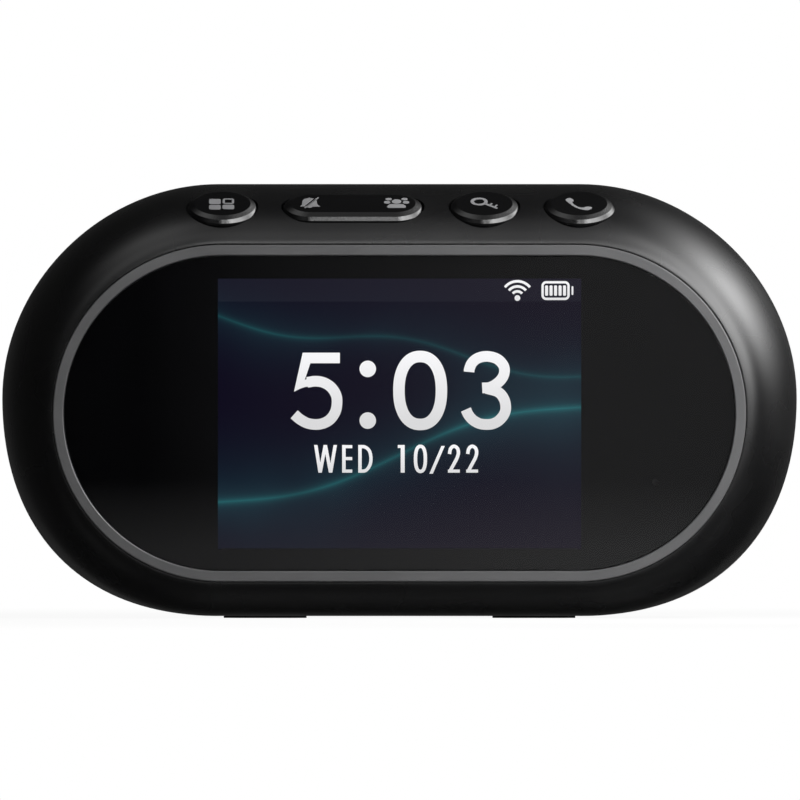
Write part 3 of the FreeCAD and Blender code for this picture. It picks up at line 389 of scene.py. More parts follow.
def housing_outline(depth, inset, quarter_steps=40, straight_steps=60):
    """The housing's outline at a depth behind the ring's face, as points."""
    lip = ring_gap + lip_width
    side = rise(depth, side_bulge_run)
    lip_top = ring_z + ring_height / 2 + lip
    lip_low = ring_z - ring_height / 2 - lip
    top = mix(lip_top, top_z, rise(depth, top_bulge_run)) - inset
    low = mix(lip_low, base_z, rise(depth, bottom_bulge_run)) + inset
    half = mix(ring_width / 2 + lip, body_width / 2, side) - inset
    level = ring_z + widest_rise * side
    ring_reach = (ring_width - ring_height) / 2
    upper = mix(ring_reach, body_width / 2 - upper_end_reach, side)
    lower = mix(ring_reach, body_width / 2 - lower_end_reach, side)
    circle = 4 / 3 * math.tan(math.pi / 8)
    upper_full = mix(circle, upper_end_fullness, side)
    lower_full = mix(circle, lower_end_fullness, side)
    y = face_y + depth

    def quarter(sign, reach, height, full):
        return [
            Vector((sign * reach, y, height)),
            Vector((sign * mix(reach, half, full), y, height)),
            Vector((sign * half, y, mix(level, height, full))),
            Vector((sign * half, y, level)),
        ]

    def straight(a, b):
        return [a.lerp(b, n / straight_steps) for n in range(straight_steps)]

    upper_right = quarter(1, upper, top, upper_full)
    lower_right = quarter(1, lower, low, lower_full)
    upper_left = quarter(-1, upper, top, upper_full)
    lower_left = quarter(-1, lower, low, lower_full)
    points = straight(upper_left[0], upper_right[0])
    points += bezier_points(*upper_right, quarter_steps)
    points += bezier_points(*lower_right[::-1], quarter_steps)
    points += straight(lower_right[0], lower_left[0])
    points += bezier_points(*lower_left, quarter_steps)
    points += bezier_points(*upper_left[::-1], quarter_steps)
    return points


def key_axis():
    return Vector((0, -math.sin(key_tilt), math.cos(key_tilt)))


def deck_matrix(x):
    """The frame of a key at x: u along X, v up the slope, w along the key's travel."""
    pin = next(joint for joint in frame["joints"] if joint["name"] == "rocker_tilt")["pos_m"]
    origin = Vector((x, pin[1], pin[2])) + key_axis() * pin_drop
    return Matrix.Translation(origin) @ Matrix.Rotation(key_tilt, 4, "X")


def key_x(name):
    low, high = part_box(name)
    return (low.x + high.x) / 2


def deck_hole(name, length, width, x):
    """A cutter for a key's hole: a stadium through the deck along the key's travel."""
    tool = stadium(name, length, width, 0, 0, -hole_depth, hole_depth / 3)
    tool.data.transform(deck_matrix(x) @ quarter_turn)
    return tool


def front_shell():
    """The front housing with its smooth bulge, window seat and key holes."""
    end = parting_y - face_y
    turns = [math.pi / 2 * n / front_rows for n in range(front_rows)]
    depths = [side_bulge_run * (1 - math.cos(turn)) for turn in turns]
    depths = [depth for depth in depths if depth < end - seam_softening] + [end - seam_softening, end]
    insets = [0.0] * (len(depths) - 1) + [seam_softening]
    shell = tube_of("front_shell", [housing_outline(d, i) for d, i in zip(depths, insets)])
    reach = end + wall - front_wall_depth
    cavity_depths = [front_wall_depth + reach * n / cavity_rows for n in range(cavity_rows + 1)]
    outlines = [housing_outline(d, front_cavity_inset, *coarse_outline) for d in cavity_depths]
    cavity = tube_of("cavity", outlines)
    seat_width, seat_height = ring_width + 2 * ring_gap, ring_height + 2 * ring_gap
    half_width = view_width / 2 + window_shelf_margin
    half_height = view_height / 2 + window_shelf_margin
    gap = 2 * rocker_hole_gap
    holes = [
        cavity,
        stadium("seat", seat_width, seat_height, 0, ring_z, face_y - wall, face_y + ring_depth),
        cuboid(
            "view",
            (-half_width, face_y - wall, ring_z - half_height),
            (half_width, face_y + 3 * wall, ring_z + half_height),
        ),
        deck_hole("rocker_hole", rocker_length + gap, rocker_width + gap, key_x("rocker_key")),
    ]
    side = 2 * (key_radius + key_hole_gap)
    for name in round_keys:
        holes.append(deck_hole(name + "_hole", side, side, key_x(name)))
    shell = combined(shell, holes, "DIFFERENCE")
    smooth(shell, shell_sharp_deg)
    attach(shell, "station")
    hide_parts("front_housing")
    return shell


def key_cap(name, length, width, levels, body, material):
    """A key's node with its top remade through levels, which are insets and heights."""
    made = new_object(name + "_cap", nodes[name].data.copy())
    work = bmesh.new()
    work.from_mesh(made.data)
    bmesh.ops.remove_doubles(work, verts=work.verts, dist=weld_reach)
    work.to_mesh(made.data)
    work.free()
    place = deck_matrix(key_x(name))
    half = Vector((length, width)) / 2 + Vector((wall, wall))
    above = cuboid("above", (-half.x, -half.y, -key_crown), (half.x, half.y, wall))
    above.data.transform(place)
    rings = [ring_points(length - 2 * inset, width - 2 * inset, 0, 0, w) for inset, w in levels]
    cap = tube_of("cap", rings)
    cap.data.transform(place @ quarter_turn)
    combined(made, [above], "DIFFERENCE")
    combined(made, [cap], "UNION")
    smooth(made, key_sharp_deg)
    soft = made.modifiers.new("soft", "BEVEL")
    soft.width = key_softening
    soft.segments = 2
    soft.limit_method = "ANGLE"
    soft.angle_limit = math.radians(key_sharp_deg)
    soft.harden_normals = True
    paint(made, material)
    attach(made, body)
    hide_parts(name)


def key_levels(shoulder, edge, flare):
    """Insets and heights of a cap's corners, from its foot up to its top."""
    foot = -key_crown - cap_overlap
    return [(-flare, foot), (-flare, -key_edge_drop), (edge, -key_shoulder_drop), (shoulder, 0.0)]


def key_pieces(material):
    side = 2 * key_radius
    round_levels = key_levels(round_shoulder, round_edge, round_flare)
    for key, body in round_keys.items():
        key_cap(key, side, side, round_levels, body, material)
    rocker_levels = key_levels(rocker_shoulder, rocker_edge, rocker_flare)
    key_cap("rocker_key", rocker_length, rocker_width, rocker_levels, "rocker", material)


def rear_shell():
    """The rear cover with its rounded edge, loudspeaker slots, screw wells and charging cut-out."""
    start = body_depth - back_round_depth
    turns = [math.pi / 2 * (n + 1) / back_rows for n in range(back_rows)]
    first = cover_edge_y() - face_y
    depths = [first, first + seam_softening] + [start + back_round_depth * math.sin(turn) for turn in turns]
    insets = [seam_softening, 0.0] + [back_inset(depth) for depth in depths[2:]]
    shell = tube_of("rear_shell", [housing_outline(d, i) for d, i in zip(depths, insets)])
    tongue_inset = wall + tongue_gap
    tongue_depths = (cover_low.y - face_y, first + tongue_wall)
    tongue = tube_of("tongue", [housing_outline(d, tongue_inset, *coarse_outline) for d in tongue_depths])
    shell = combined(shell, [tongue], "UNION")
    cavity_inset = tongue_inset + tongue_wall
    cavity_depths = (cover_low.y - face_y - wall, body_depth - wall)
    cavity = tube_of("cavity", [housing_outline(d, cavity_inset, *coarse_outline) for d in cavity_depths])
    shell = combined(shell, [cavity], "DIFFERENCE")
    shell = combined(shell, screw_bosses(), "UNION")
    shell = combined(shell, grille_holes() + screw_holes() + [port_hole()], "DIFFERENCE")
    smooth(shell, shell_sharp_deg)
    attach(shell, "station")
    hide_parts("rear_cover")
    return shell


def cover_edge_y():
    return parting_y + cover_reveal


def grille_holes():
    speaker_low, speaker_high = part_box("speaker_frame")
    middle_x = (speaker_low.x + speaker_high.x) / 2
    holes = []
    for n in range(grille_slots):
        step = n - (grille_slots - 1) / 2
        half = grille_height / 2 - grille_shortening * abs(step)
        x = middle_x + step * grille_pitch
        low = (x - grille_slot / 2, back_y - 2 * wall, mid_z - half)
        high = (x + grille_slot / 2, back_y + wall, mid_z + half)
        holes.append(cuboid(f"slot_{n}", low, high))
    return holes


def screw_places():
    low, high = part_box("cover_screws")
    return low.x + screw_head_radius, high.x - screw_head_radius


def screw_bosses():
    half = screw_boss_side / 2
    bosses = []
    for x in screw_places():
        near = (x - half, cover_edge_y(), mid_z - half)
        far = (x + half, back_y - wall / 2, mid_z + half)
        bosses.append(cuboid("boss", near, far))
    return bosses


def screw_holes():
    head_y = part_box("cover_screws")[1].y - screw_head_height
    side = 2 * screw_well_radius
    holes = []
    for x in screw_places():
        holes.append(stadium("well", side, side, x, mid_z, head_y, back_y + wall, 24))
    return holes


def port_hole():
    low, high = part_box("usb_socket")
    gap = 2 * port_gap
    width, height = high.x - low.x + gap, high.z - low.z + gap
    return stadium("port", width, height, 0, (low.z + high.z) / 2, back_y - 2 * wall, back_y + wall, 24)


# Materials


def shader(name, base, roughness, specular=0.5, metallic=0.0):
    """A material with one plain surface shader. Returns the material, its nodes, links and shader."""
    material = bpy.data.materials.new(name)
    material.use_nodes = True
    tree = material.node_tree
    surface = tree.nodes["Principled BSDF"]
    surface.inputs["Base Color"].default_value = (*base, 1)
    surface.inputs["Roughness"].default_value = roughness
    surface.inputs["Specular IOR Level"].default_value = specular
    surface.inputs["Metallic"].default_value = metallic
    return material, tree.nodes, tree.links, surface


def noise(tree_nodes, links, scale, detail=2.0, stretch=(1, 1, 1)):
    """Noise in the object's own metres, scale in waves per metre."""
    place = tree_nodes.new("ShaderNodeTexCoord")
    fit = tree_nodes.new("ShaderNodeMapping")
    fit.inputs["Scale"].default_value = stretch
    texture = tree_nodes.new("ShaderNodeTexNoise")
    texture.inputs["Scale"].default_value = scale
    texture.inputs["Detail"].default_value = detail
    links.new(place.outputs["Object"], fit.inputs["Vector"])
    links.new(fit.outputs["Vector"], texture.inputs["Vector"])
    return texture.outputs["Fac"]


def own_place(tree_nodes, links):
    """The X, Y and Z of each point in the object's own metres."""
    place = tree_nodes.new("ShaderNodeTexCoord")
    split = tree_nodes.new("ShaderNodeSeparateXYZ")
    links.new(place.outputs["Object"], split.inputs["Vector"])
    return split.outputs


def spread(tree_nodes, links, value, low, high, first=0.0, last=1.0, curve="LINEAR"):
    """Turns a value that runs from low to high into one that runs from first to last."""
    step = tree_nodes.new("ShaderNodeMapRange")
    step.interpolation_type = curve
    step.inputs["From Min"].default_value = low
    step.inputs["From Max"].default_value = high
    step.inputs["To Min"].default_value = first
    step.inputs["To Max"].default_value = last
    links.new(value, step.inputs["Value"])
    return step.outputs["Result"]


def ramp(tree_nodes, links, value, low, high):
    """Turns noise into a number between low and high."""
    return spread(tree_nodes, links, value, noise_low, noise_high, low, high)


def tint(tree_nodes, links, value, low, high):
    """Turns noise into a colour between two."""
    step = tree_nodes.new("ShaderNodeValToRGB")
    first, last = step.color_ramp.elements
    first.position, last.position = noise_low, noise_high
    first.color, last.color = (*low, 1), (*high, 1)
    links.new(value, step.inputs["Fac"])
    return step.outputs["Color"]


def bump(tree_nodes, links, height, surface, strength, distance):
    step = tree_nodes.new("ShaderNodeBump")
    step.inputs["Strength"].default_value = strength
    step.inputs["Distance"].default_value = distance
    links.new(height, step.inputs["Height"])
    links.new(step.outputs["Normal"], surface.inputs["Normal"])


def grained(name, base, roughness, grain, change, strength, specular, metallic=0.0, stretch=(1, 1, 1)):
    """A surface with a fine grain of a given size, and slow changes in colour and gloss."""
    material, tree_nodes, links, surface = shader(name, base, roughness, specular, metallic)
    fine = noise(tree_nodes, links, 1 / grain, 3.0, stretch)
    slow = noise(tree_nodes, links, slow_scale, 2.0)
    bump(tree_nodes, links, fine, surface, strength, grain / 4)
    gloss = ramp(tree_nodes, links, slow, roughness * (1 - change), roughness * (1 + change))
    links.new(gloss, surface.inputs["Roughness"])
    low = [c * (1 - change / 2) for c in base]
    high = [min(1.0, c * (1 + change / 2)) for c in base]
    links.new(tint(tree_nodes, links, slow, low, high), surface.inputs["Base Color"])
    return material


def paint(target, material):
    target.data.materials.clear()
    target.data.materials.append(material)


def plastic(name, base, roughness, grain, specular=0.5):
    """Moulded plastic, rubber, paper or foam: a fine grain in relief and slow changes of gloss."""
    return grained(name, base, roughness, grain, 0.12, 0.25, specular)


def metal(name, base, roughness, stretch=(1, 1, 1)):
    """Sheet or turned metal with fine drawn lines."""
    return grained(name, base, roughness, 0.25 * MM, 0.2, 0.12, 0.5, 1.0, stretch)


def acrylic(name, roughness):
    material, tree_nodes, links, surface = shader(name, (1, 1, 1), roughness)
    surface.inputs["Transmission Weight"].default_value = 1.0
    surface.inputs["IOR"].default_value = acrylic_ior
    return material, tree_nodes, links, surface


def glass_material():
    """Clear acrylic with faint smudges."""
    material, tree_nodes, links, surface = acrylic("lens_glass", smudge_high)
    smudge = noise(tree_nodes, links, smudge_scale, 3.0)
    links.new(ramp(tree_nodes, links, smudge, smudge_low, smudge_high), surface.inputs["Roughness"])
    return material


def coated_material():
    """The same acrylic's back face, whose coating takes its reflection away."""
    material, _, _, surface = acrylic("lens_coating", 0.0)
    surface.inputs["Specular Tint"].default_value = (0, 0, 0, 1)
    return material


def glowing(name, low, high, low_z, high_z):
    """A lit surface that changes evenly from one colour to another between two heights."""
    material, tree_nodes, links, surface = shader(name, (0, 0, 0), 0.5, 0.0)
    share = spread(tree_nodes, links, own_place(tree_nodes, links)["Z"], low_z, high_z)
    blend = tree_nodes.new("ShaderNodeMix")
    blend.data_type = "RGBA"
    blend.inputs["A"].default_value = (*low, 1)
    blend.inputs["B"].default_value = (*high, 1)
    links.new(share, blend.inputs["Factor"])
    links.new(blend.outputs["Result"], surface.inputs["Emission Color"])
    surface.inputs["Emission Strength"].default_value = 1.0
    return material


def calculation(tree_nodes, links, operation, *values):
    """A math node on numbers and sockets."""
    step = tree_nodes.new("ShaderNodeMath")
    step.operation = operation
    for place, value in enumerate(values):
        if isinstance(value, (int, float)):
            step.inputs[place].default_value = value
        else:
            links.new(value, step.inputs[place])
    return step.outputs["Value"]


def added_light(tree_nodes, links, base, share, colour):
    """A colour with a share of another added."""
    step = tree_nodes.new("ShaderNodeMix")
    step.data_type = "RGBA"
    step.blend_type = "ADD"
    links.new(share, step.inputs["Factor"])
    links.new(base, step.inputs["A"])
    step.inputs["B"].default_value = (*colour, 1)
    return step.outputs["Result"]


def picture_material():
    """The display's background: a dark violet field, two soft teal waves, and a paler strip on top."""
    material, tree_nodes, links, surface = shader("screen_picture", (0, 0, 0), 0.5, 0.0)

    def result_of(operation, *values):
        return calculation(tree_nodes, links, operation, *values)

    place = own_place(tree_nodes, links)
    x = place["X"]
    z = result_of("SUBTRACT", place["Z"], ring_z)
    slow = ramp(tree_nodes, links, noise(tree_nodes, links, cloud_scale, 2.0), cloud_low, 1.0)
    field = tree_nodes.new("ShaderNodeRGB")
    field.outputs["Color"].default_value = (*screen_dark, 1)
    colour = field.outputs["Color"]
    for rest, slope, sway, length, start, width, level in wave_shapes:
        turn = result_of("MULTIPLY_ADD", x, 2 * math.pi / (length * MM), start)
        bend = result_of("MULTIPLY_ADD", result_of("SINE", turn), sway * MM, rest * MM)
        line = result_of("MULTIPLY_ADD", x, slope, bend)
        off = result_of("ABSOLUTE", result_of("SUBTRACT", z, line))
        glow = result_of("EXPONENT", result_of("MULTIPLY", off, -1 / (width * MM)))
        core = result_of("EXPONENT", result_of("MULTIPLY", off, -1 / (width * wave_core_share * MM)))
        halo = result_of("MULTIPLY", glow, result_of("MULTIPLY", slow, level))
        colour = added_light(tree_nodes, links, colour, halo, teal_soft)
        shine = result_of("MULTIPLY", result_of("MULTIPLY", core, slow), level * wave_core_level)
        colour = added_light(tree_nodes, links, colour, shine, teal_bright)
    strip = spread(tree_nodes, links, z, strip_low, strip_low + strip_edge)
    colour = added_light(tree_nodes, links, colour, strip, strip_tone)
    links.new(colour, surface.inputs["Emission Color"])
    surface.inputs["Emission Strength"].default_value = 1.0
    return material


# Flat signs, drawn in millimetres from the middle of the screen or of a key


def curve_through(points, steps=6):
    """A smooth line through points."""
    line = [Vector(point) for point in points]
    padded = [line[0] * 2 - line[1]] + line + [line[-1] * 2 - line[-2]]
    result = []
    for n in range(1, len(padded) - 2):
        a, b, c, d = padded[n - 1 : n + 3]
        for m in range(steps):
            t = m / steps
            square = (2 * a - 5 * b + 4 * c - d) * t**2
            cube = (3 * b - a - 3 * c + d) * t**3
            result.append(0.5 * (2 * b + (c - a) * t + square + cube))
    return result + [line[-1]]


def ribbon(points, width, closed=False):
    """The outline pairs of a stroke of even width along a line."""
    line = [Vector(point) for point in points]
    count = len(line)
    pairs = []
    for n, point in enumerate(line):
        before = line[(n - 1) % count] if closed or n > 0 else point
        after = line[(n + 1) % count] if closed or n < count - 1 else point
        run = (after - before).normalized()
        side = Vector((-run.y, run.x)) * width / 2
        pairs.append((point + side, point - side))
    return pairs


def oval(x, y, half_width, half_height, power=2.0, steps=64):
    points = []
    for n in range(steps):
        angle = 2 * math.pi * n / steps
        c, s = math.cos(angle), math.sin(angle)
        across = half_width * math.copysign(abs(c) ** (2 / power), c)
        up = half_height * math.copysign(abs(s) ** (2 / power), s)
        points.append(Vector((x + across, y + up)))
    return points


def arc(x, y, radius, first_deg, last_deg, steps=24):
    points = []
    for n in range(steps + 1):
        angle = math.radians(mix(first_deg, last_deg, n / steps))
        points.append(Vector((x + radius * math.cos(angle), y + radius * math.sin(angle))))
    return points


def stadium_line(x, y, width, height, radius, steps=8):
    """A rounded rectangle's outline."""
    points = []
    for sx, sy, start in ((1, 1, 0), (-1, 1, 90), (-1, -1, 180), (1, -1, 270)):
        centre = (x + sx * (width / 2 - radius), y + sy * (height / 2 - radius))
        points += arc(*centre, radius, start, start + 90, steps)
    return points


class Sign:
    """Thin raised shapes on a flat face, gathered into one mesh."""

    def __init__(self):
        self.work = bmesh.new()

    def plate(self, points, thickness):
        low = [self.work.verts.new((p[0], p[1], 0)) for p in points]
        high = [self.work.verts.new((p[0], p[1], thickness)) for p in points]
        self.work.faces.new(low[::-1])
        self.work.faces.new(high)
        count = len(points)
        for n in range(count):
            m = (n + 1) % count
            self.work.faces.new((low[n], low[m], high[m], high[n]))

    def stroke(self, points, width, thickness, closed=False):
        pairs = ribbon(points, width, closed)
        rows = []
        for height in (0, thickness):
            for side in (0, 1):
                rows.append([self.work.verts.new((*pair[side], height)) for pair in pairs])
        left_low, right_low, left_high, right_high = rows
        count = len(pairs)
        spans = range(count) if closed else range(count - 1)
        for n in spans:
            m = (n + 1) % count
            self.work.faces.new((left_high[n], right_high[n], right_high[m], left_high[m]))
            self.work.faces.new((left_low[n], left_low[m], right_low[m], right_low[n]))
            self.work.faces.new((left_low[n], left_high[n], left_high[m], left_low[m]))
            self.work.faces.new((right_low[n], right_low[m], right_high[m], right_high[n]))
        if not closed:
            self.work.faces.new((left_low[0], right_low[0], right_high[0], left_high[0]))
            self.work.faces.new((left_low[-1], left_high[-1], right_high[-1], right_low[-1]))

    def finish(self, name, place, body, material, slot):
        bmesh.ops.recalc_face_normals(self.work, faces=self.work.faces)
        mesh = bpy.data.meshes.new(name)
        self.work.to_mesh(mesh)
        self.work.free()
        mesh.transform(place)
        made = new_object(name, mesh)
        paint(made, material)
        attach(made, body)


def millimetres(points):
    return [Vector(point) * MM for point in points]


def mm(*sizes):
    return [size * MM for size in sizes]


# Ring and window


def ring_piece(material):
    """The grey band with softened front edges."""
    floor_y = ring_high.y
    soft = ring_edge / 3
    profile = [
        (0.0, floor_y),
        (0.0, face_y + ring_edge),
        (soft, face_y + soft),
        (ring_edge, face_y),
        (ring_band - ring_edge, face_y),
        (ring_band - soft, face_y + soft),
        (ring_band, face_y + ring_edge),
        (ring_band, floor_y),
    ]
    width, height = ring_width, ring_height
    rings = [ring_points(width - 2 * i, height - 2 * i, 0, ring_z, y, plate_steps) for i, y in profile]
    made = solid_from("ring_band", *ring_faces(rings, True))
    smooth(made, plate_sharp_deg)
    paint(made, material)
    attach(made, "station")
    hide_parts("trim_ring")


def lens_piece(material, coated):
    """The clear window plate with polished edges, a coated back and the microphone's sound hole."""
    width, height = lens_high.x - lens_low.x, lens_high.z - lens_low.z
    soft = lens_edge / 3
    profile = [
        (0.0, lens_high.y),
        (0.0, lens_low.y + lens_edge),
        (soft, lens_low.y + soft),
        (lens_edge, lens_low.y),
    ]
    rings = [ring_points(width - 2 * i, height - 2 * i, 0, ring_z, y, plate_steps) for i, y in profile]
    made = tube_of("lens_plate", rings)
    side = 2 * mic_hole_radius
    hole = stadium("mic_hole", side, side, mic_x, mic_z, lens_low.y - MM, lens_high.y + MM, 20)
    made = combined(made, [hole], "DIFFERENCE")
    smooth(made, plate_sharp_deg)
    paint(made, material)
    made.data.materials.append(coated)
    for face in made.data.polygons:
        if face.normal.y > coated_facing:
            face.material_index = 1
    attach(made, "station")
    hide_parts("front_lens")


def print_piece(material):
    """The black print on the back of the window, with the display's opening."""
    width = lens_high.x - lens_low.x - 2 * print_margin
    height = lens_high.z - lens_low.z - 2 * print_margin
    back = lens_high.y - print_thickness / 3
    made = stadium("lens_print", width, height, 0, ring_z, back - print_thickness, back, plate_steps)
    view = cuboid(
        "view",
        (-view_width / 2, back - MM, ring_z - view_height / 2),
        (view_width / 2, back + MM, ring_z + view_height / 2 - view_top_trim),
    )
    side = 2 * mic_hole_radius
    hole = stadium("mic_hole", side, side, mic_x, mic_z, back - MM, back + MM, 20)
    made = combined(made, [view, hole], "DIFFERENCE")
    paint(made, material)
    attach(made, "station")


def picture_piece(material):
    half_width = view_width / 2 + picture_margin
    half_height = view_height / 2 + picture_margin
    y = glass_low.y - picture_lift
    made = cuboid(
        "display_picture",
        (-half_width, y, ring_z - half_height),
        (half_width, glass_low.y, ring_z + half_height),
    )
    paint(made, material)
    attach(made, "station")


def screen_place():
    """The frame of the shown text: x to the right, y up, thickness towards the viewer."""
    return Matrix.Translation((0, glass_low.y - text_lift, ring_z - text_drop)) @ quarter_turn


def clock_signs(material):
    sign = Sign()
    thin = text_thickness
    bowl = [
        (-17.81, 6.08), (-16.22, 6.31), (-14.57, 6.02), (-13.13, 5.07), (-12.23, 3.62),
        (-12.06, 2.09), (-12.37, 0.44), (-13.33, -1.0), (-14.69, -1.81), (-16.22, -2.04), (-17.81, -1.78),
        (-19.26, -1.0), (-20.33, -0.08),
    ]
    sign.stroke(curve_through(millimetres(bowl)), digit_stroke, thin)
    stem = [
        (-18.68, 11.81), (-16.7, 11.81), (-17.2, 9.8), (-18.3, 6.55), (-17.6, 6.9), (-17.4, 5.3),
        (-18.2, 5.2), (-19.1, 4.9), (-20.36, 4.29),
    ]
    sign.plate(millimetres(stem), thin)
    sign.plate(millimetres([(-18.68, 11.81), (-11.51, 11.81), (-11.51, 9.78), (-17.4, 9.78)]), thin)
    for z in (8.69, -1.29):
        sign.plate(oval(*mm(-6.13, z, 1.59, 1.59)), thin)
    sign.stroke(oval(*mm(3.99, 4.52, 4.1, 6.56), 2.25, 96), digit_stroke * 1.08, thin, True)
    upper = [
        (13.42, 8.1), (13.5, 8.7), (14.0, 9.84), (15.15, 10.77), (16.89, 11.11), (18.77, 10.65),
        (19.93, 9.55), (20.27, 8.4), (19.93, 7.09), (18.91, 5.94), (17.47, 5.13), (15.96, 5.01),
    ]
    lower = [
        (16.75, 4.93), (19.06, 4.2), (20.22, 2.76), (20.5, 1.02), (20.07, -0.28), (19.06, -1.38),
        (17.9, -1.93), (16.75, -2.04), (15.44, -1.87), (14.14, -1.15), (13.28, -0.13), (12.82, 0.85),
    ]
    sign.stroke(curve_through(millimetres(upper)), digit_stroke, thin)
    sign.stroke(curve_through(millimetres(lower)), digit_stroke, thin)
    sign.finish("clock_digits", screen_place(), "station", material, "display_cell")


def date_signs(material):
    sign = Sign()
    thin, wide = text_thickness, letter_stroke

    def slant(a, b):
        half = wide / 2 / MM
        corners = [(a[0] - half, a[1]), (a[0] + half, a[1]), (b[0] + half, b[1]), (b[0] - half, b[1])]
        sign.plate(millimetres(corners), thin)

    def bar(x0, x1, z0, z1):
        sign.plate(millimetres([(x0, z0), (x1, z0), (x1, z1), (x0, z1)]), thin)

    top, low = -6.0, -11.34
    for high_x, low_x in ((-16.16, -15.32), (-14.32, -15.32), (-14.32, -13.3), (-12.4, -13.3)):
        slant((high_x, top), (low_x, low))
    bar(-11.07, -10.4, low, top)
    for z in (-6.62, -8.92, low):
        bar(-11.0, -9.12, z, z + 0.6)
    bar(-7.96, -7.3, low, top)
    bowl = [
        (-7.63, -6.31), (-6.64, -6.4), (-5.8, -7.18), (-5.51, -8.62), (-5.75, -9.95), (-6.53, -10.92),
        (-7.63, -11.05),
    ]
    sign.stroke(curve_through(millimetres(bowl)), wide * 0.95, thin)
    bar(0.23, 1.0, low, top)
    bar(-0.32, 0.6, -6.58, top)
    sign.stroke(oval(*mm(4.04, -8.68, 0.95, 2.42), 2.4, 48), wide, thin, True)
    slant((8.42, -6.18), (6.1, -11.54))
    two = [
        (9.64, -7.73), (9.86, -6.73), (10.46, -6.25), (11.13, -6.58), (11.37, -7.4), (11.15, -8.4),
        (10.53, -9.61), (9.75, -11.05),
    ]
    for shift in (0.0, 3.52):
        points = [(x + shift, z) for x, z in two]
        sign.stroke(curve_through(millimetres(points)), wide, thin)
        bar(9.35 + shift, 11.64 + shift, low, low + 0.6)
    sign.finish("date_text", screen_place(), "station", material, "display_cell")


def status_signs(material):
    sign = Sign()
    thin = text_thickness
    sign.plate(oval(*mm(22.76, 22.36, 0.55, 0.55)), thin)
    for radius in (1.15, 2.1, 3.1):
        sign.stroke(arc(22.76 * MM, 22.5 * MM, radius * MM, 141, 39), 0.5 * MM, thin)
    sign.stroke(stadium_line(*mm(30.12, 23.8, 5.0, 3.2, 0.7)), 0.46 * MM, thin, True)
    for x in (28.39, 29.25, 30.12, 30.99, 31.85):
        sign.plate(stadium_line(*mm(x, 23.8, 0.58, 2.0, 0.2), 4), thin)
    sign.plate(stadium_line(*mm(33.38, 23.8, 0.34, 1.7, 0.15), 4), thin)
    sign.finish("status_marks", screen_place(), "station", material, "display_cell")


# Marks on the keys


def key_marks(material):
    thin = 2 * icon_thickness

    def put_on(sign, name, key, body):
        place = deck_matrix(key_x(key)) @ Matrix.Translation((0, 0, icon_lift - icon_thickness))
        sign.finish(name, place, body, material, "key_black")

    sign = Sign()
    for x, y, height in ((-1.45, 0.85, 2.36), (-1.45, -1.78, 2.1), (1.15, -1.65, 2.0)):
        sign.plate(stadium_line(*mm(x, y, 2.26, height, 0.45), 4), thin)
    sign.stroke(stadium_line(*mm(1.15, 1.0, 1.8, 2.0, 0.35), 4), 0.42 * MM, thin, True)
    put_on(sign, "menu_mark", "menu_key", "menu_button")

    sign = Sign()
    bell_left = [
        (-10.2, -1.4), (-9.83, -0.7), (-9.75, 1.2), (-9.33, 2.1), (-8.6, 2.42), (-8.37, 2.7),
        (-8.15, 2.4), (-7.58, 2.2), (-9.4, -1.4),
    ]
    bell_right = [
        (-9.12, -1.5), (-7.28, 2.02), (-7.05, 1.5), (-6.92, -0.1), (-6.8, -0.6), (-6.3, -1.5),
        (-7.85, -1.5), (-8.0, -1.85), (-8.4, -2.02), (-8.8, -1.85), (-8.9, -1.5),
    ]
    for points in (bell_left, bell_right):
        sign.plate(millimetres(points), thin)
    sign.stroke(millimetres([(-9.3, -2.1), (-6.68, 2.72)]), 0.3 * MM, thin)
    sign.plate(oval(*mm(8.43, 0.85, 0.92, 1.0), 2.0, 32), thin)
    torso = [
        (6.85, -2.05), (6.62, -1.75), (6.7, -1.1), (7.15, -0.4), (7.6, -0.3), (8.43, -0.42),
        (9.25, -0.3), (9.7, -0.4), (10.15, -1.1), (10.24, -1.75), (10.0, -2.05),
    ]
    sign.plate(millimetres(torso), thin)
    for side in (-1, 1):
        middle = 8.43 + side * 1.52
        sign.plate(oval(*mm(middle, 1.98, 0.6, 0.52), 2.4, 24), thin)
        sign.plate(oval(*mm(middle + side * 0.3, 0.5, 0.62, 0.6), 2.4, 24), thin)
    put_on(sign, "rocker_marks", "rocker_key", "rocker")

    sign = Sign()
    sign.stroke(oval(*mm(-1.02, 0.85, 1.33, 1.42), 2.0, 40), 0.68 * MM, thin, True)
    sign.stroke(millimetres([(0.1, -0.12), (2.45, -2.3)]), 0.56 * MM, thin)
    sign.stroke(millimetres([(0.95, -0.85), (1.5, 0.0)]), 0.36 * MM, thin)
    sign.stroke(millimetres([(1.95, -1.55), (2.45, -0.72)]), 0.36 * MM, thin)
    put_on(sign, "unlock_mark", "unlock_key", "unlock_button")

    sign = Sign()
    outer = [
        (-2.66, 1.7), (-2.3, 2.2), (-1.86, 2.45), (-1.42, 2.1), (-1.05, 1.2), (-1.38, 0.55),
        (-0.9, -0.64), (-0.17, -1.62), (0.63, -2.0), (1.43, -1.55), (2.14, -1.6), (2.48, -2.1),
        (1.8, -3.0), (0.98, -3.0), (0.0, -2.5), (-0.96, -1.55), (-1.86, -0.09), (-2.39, 0.96),
    ]
    sign.plate(curve_through(millimetres(outer + outer[:1]), 4)[:-1], thin)
    put_on(sign, "call_mark", "call_key", "call_button")


# Stage


def near_light():
    """A small soft lamp close by on the upper right, whose light falls off towards the left."""
    light = bpy.data.lights.new("near_light", "AREA")
    light.size = near_light_side
    light.energy = near_light_power
    made = new_object("near_light", light)
    made.location = near_light_place
    way = Vector(near_light_place) - Vector((0, 0, mid_z))
    made.rotation_euler = way.to_track_quat("Z", "Y").to_euler()
    made.visible_camera = False
    made.visible_glossy = False


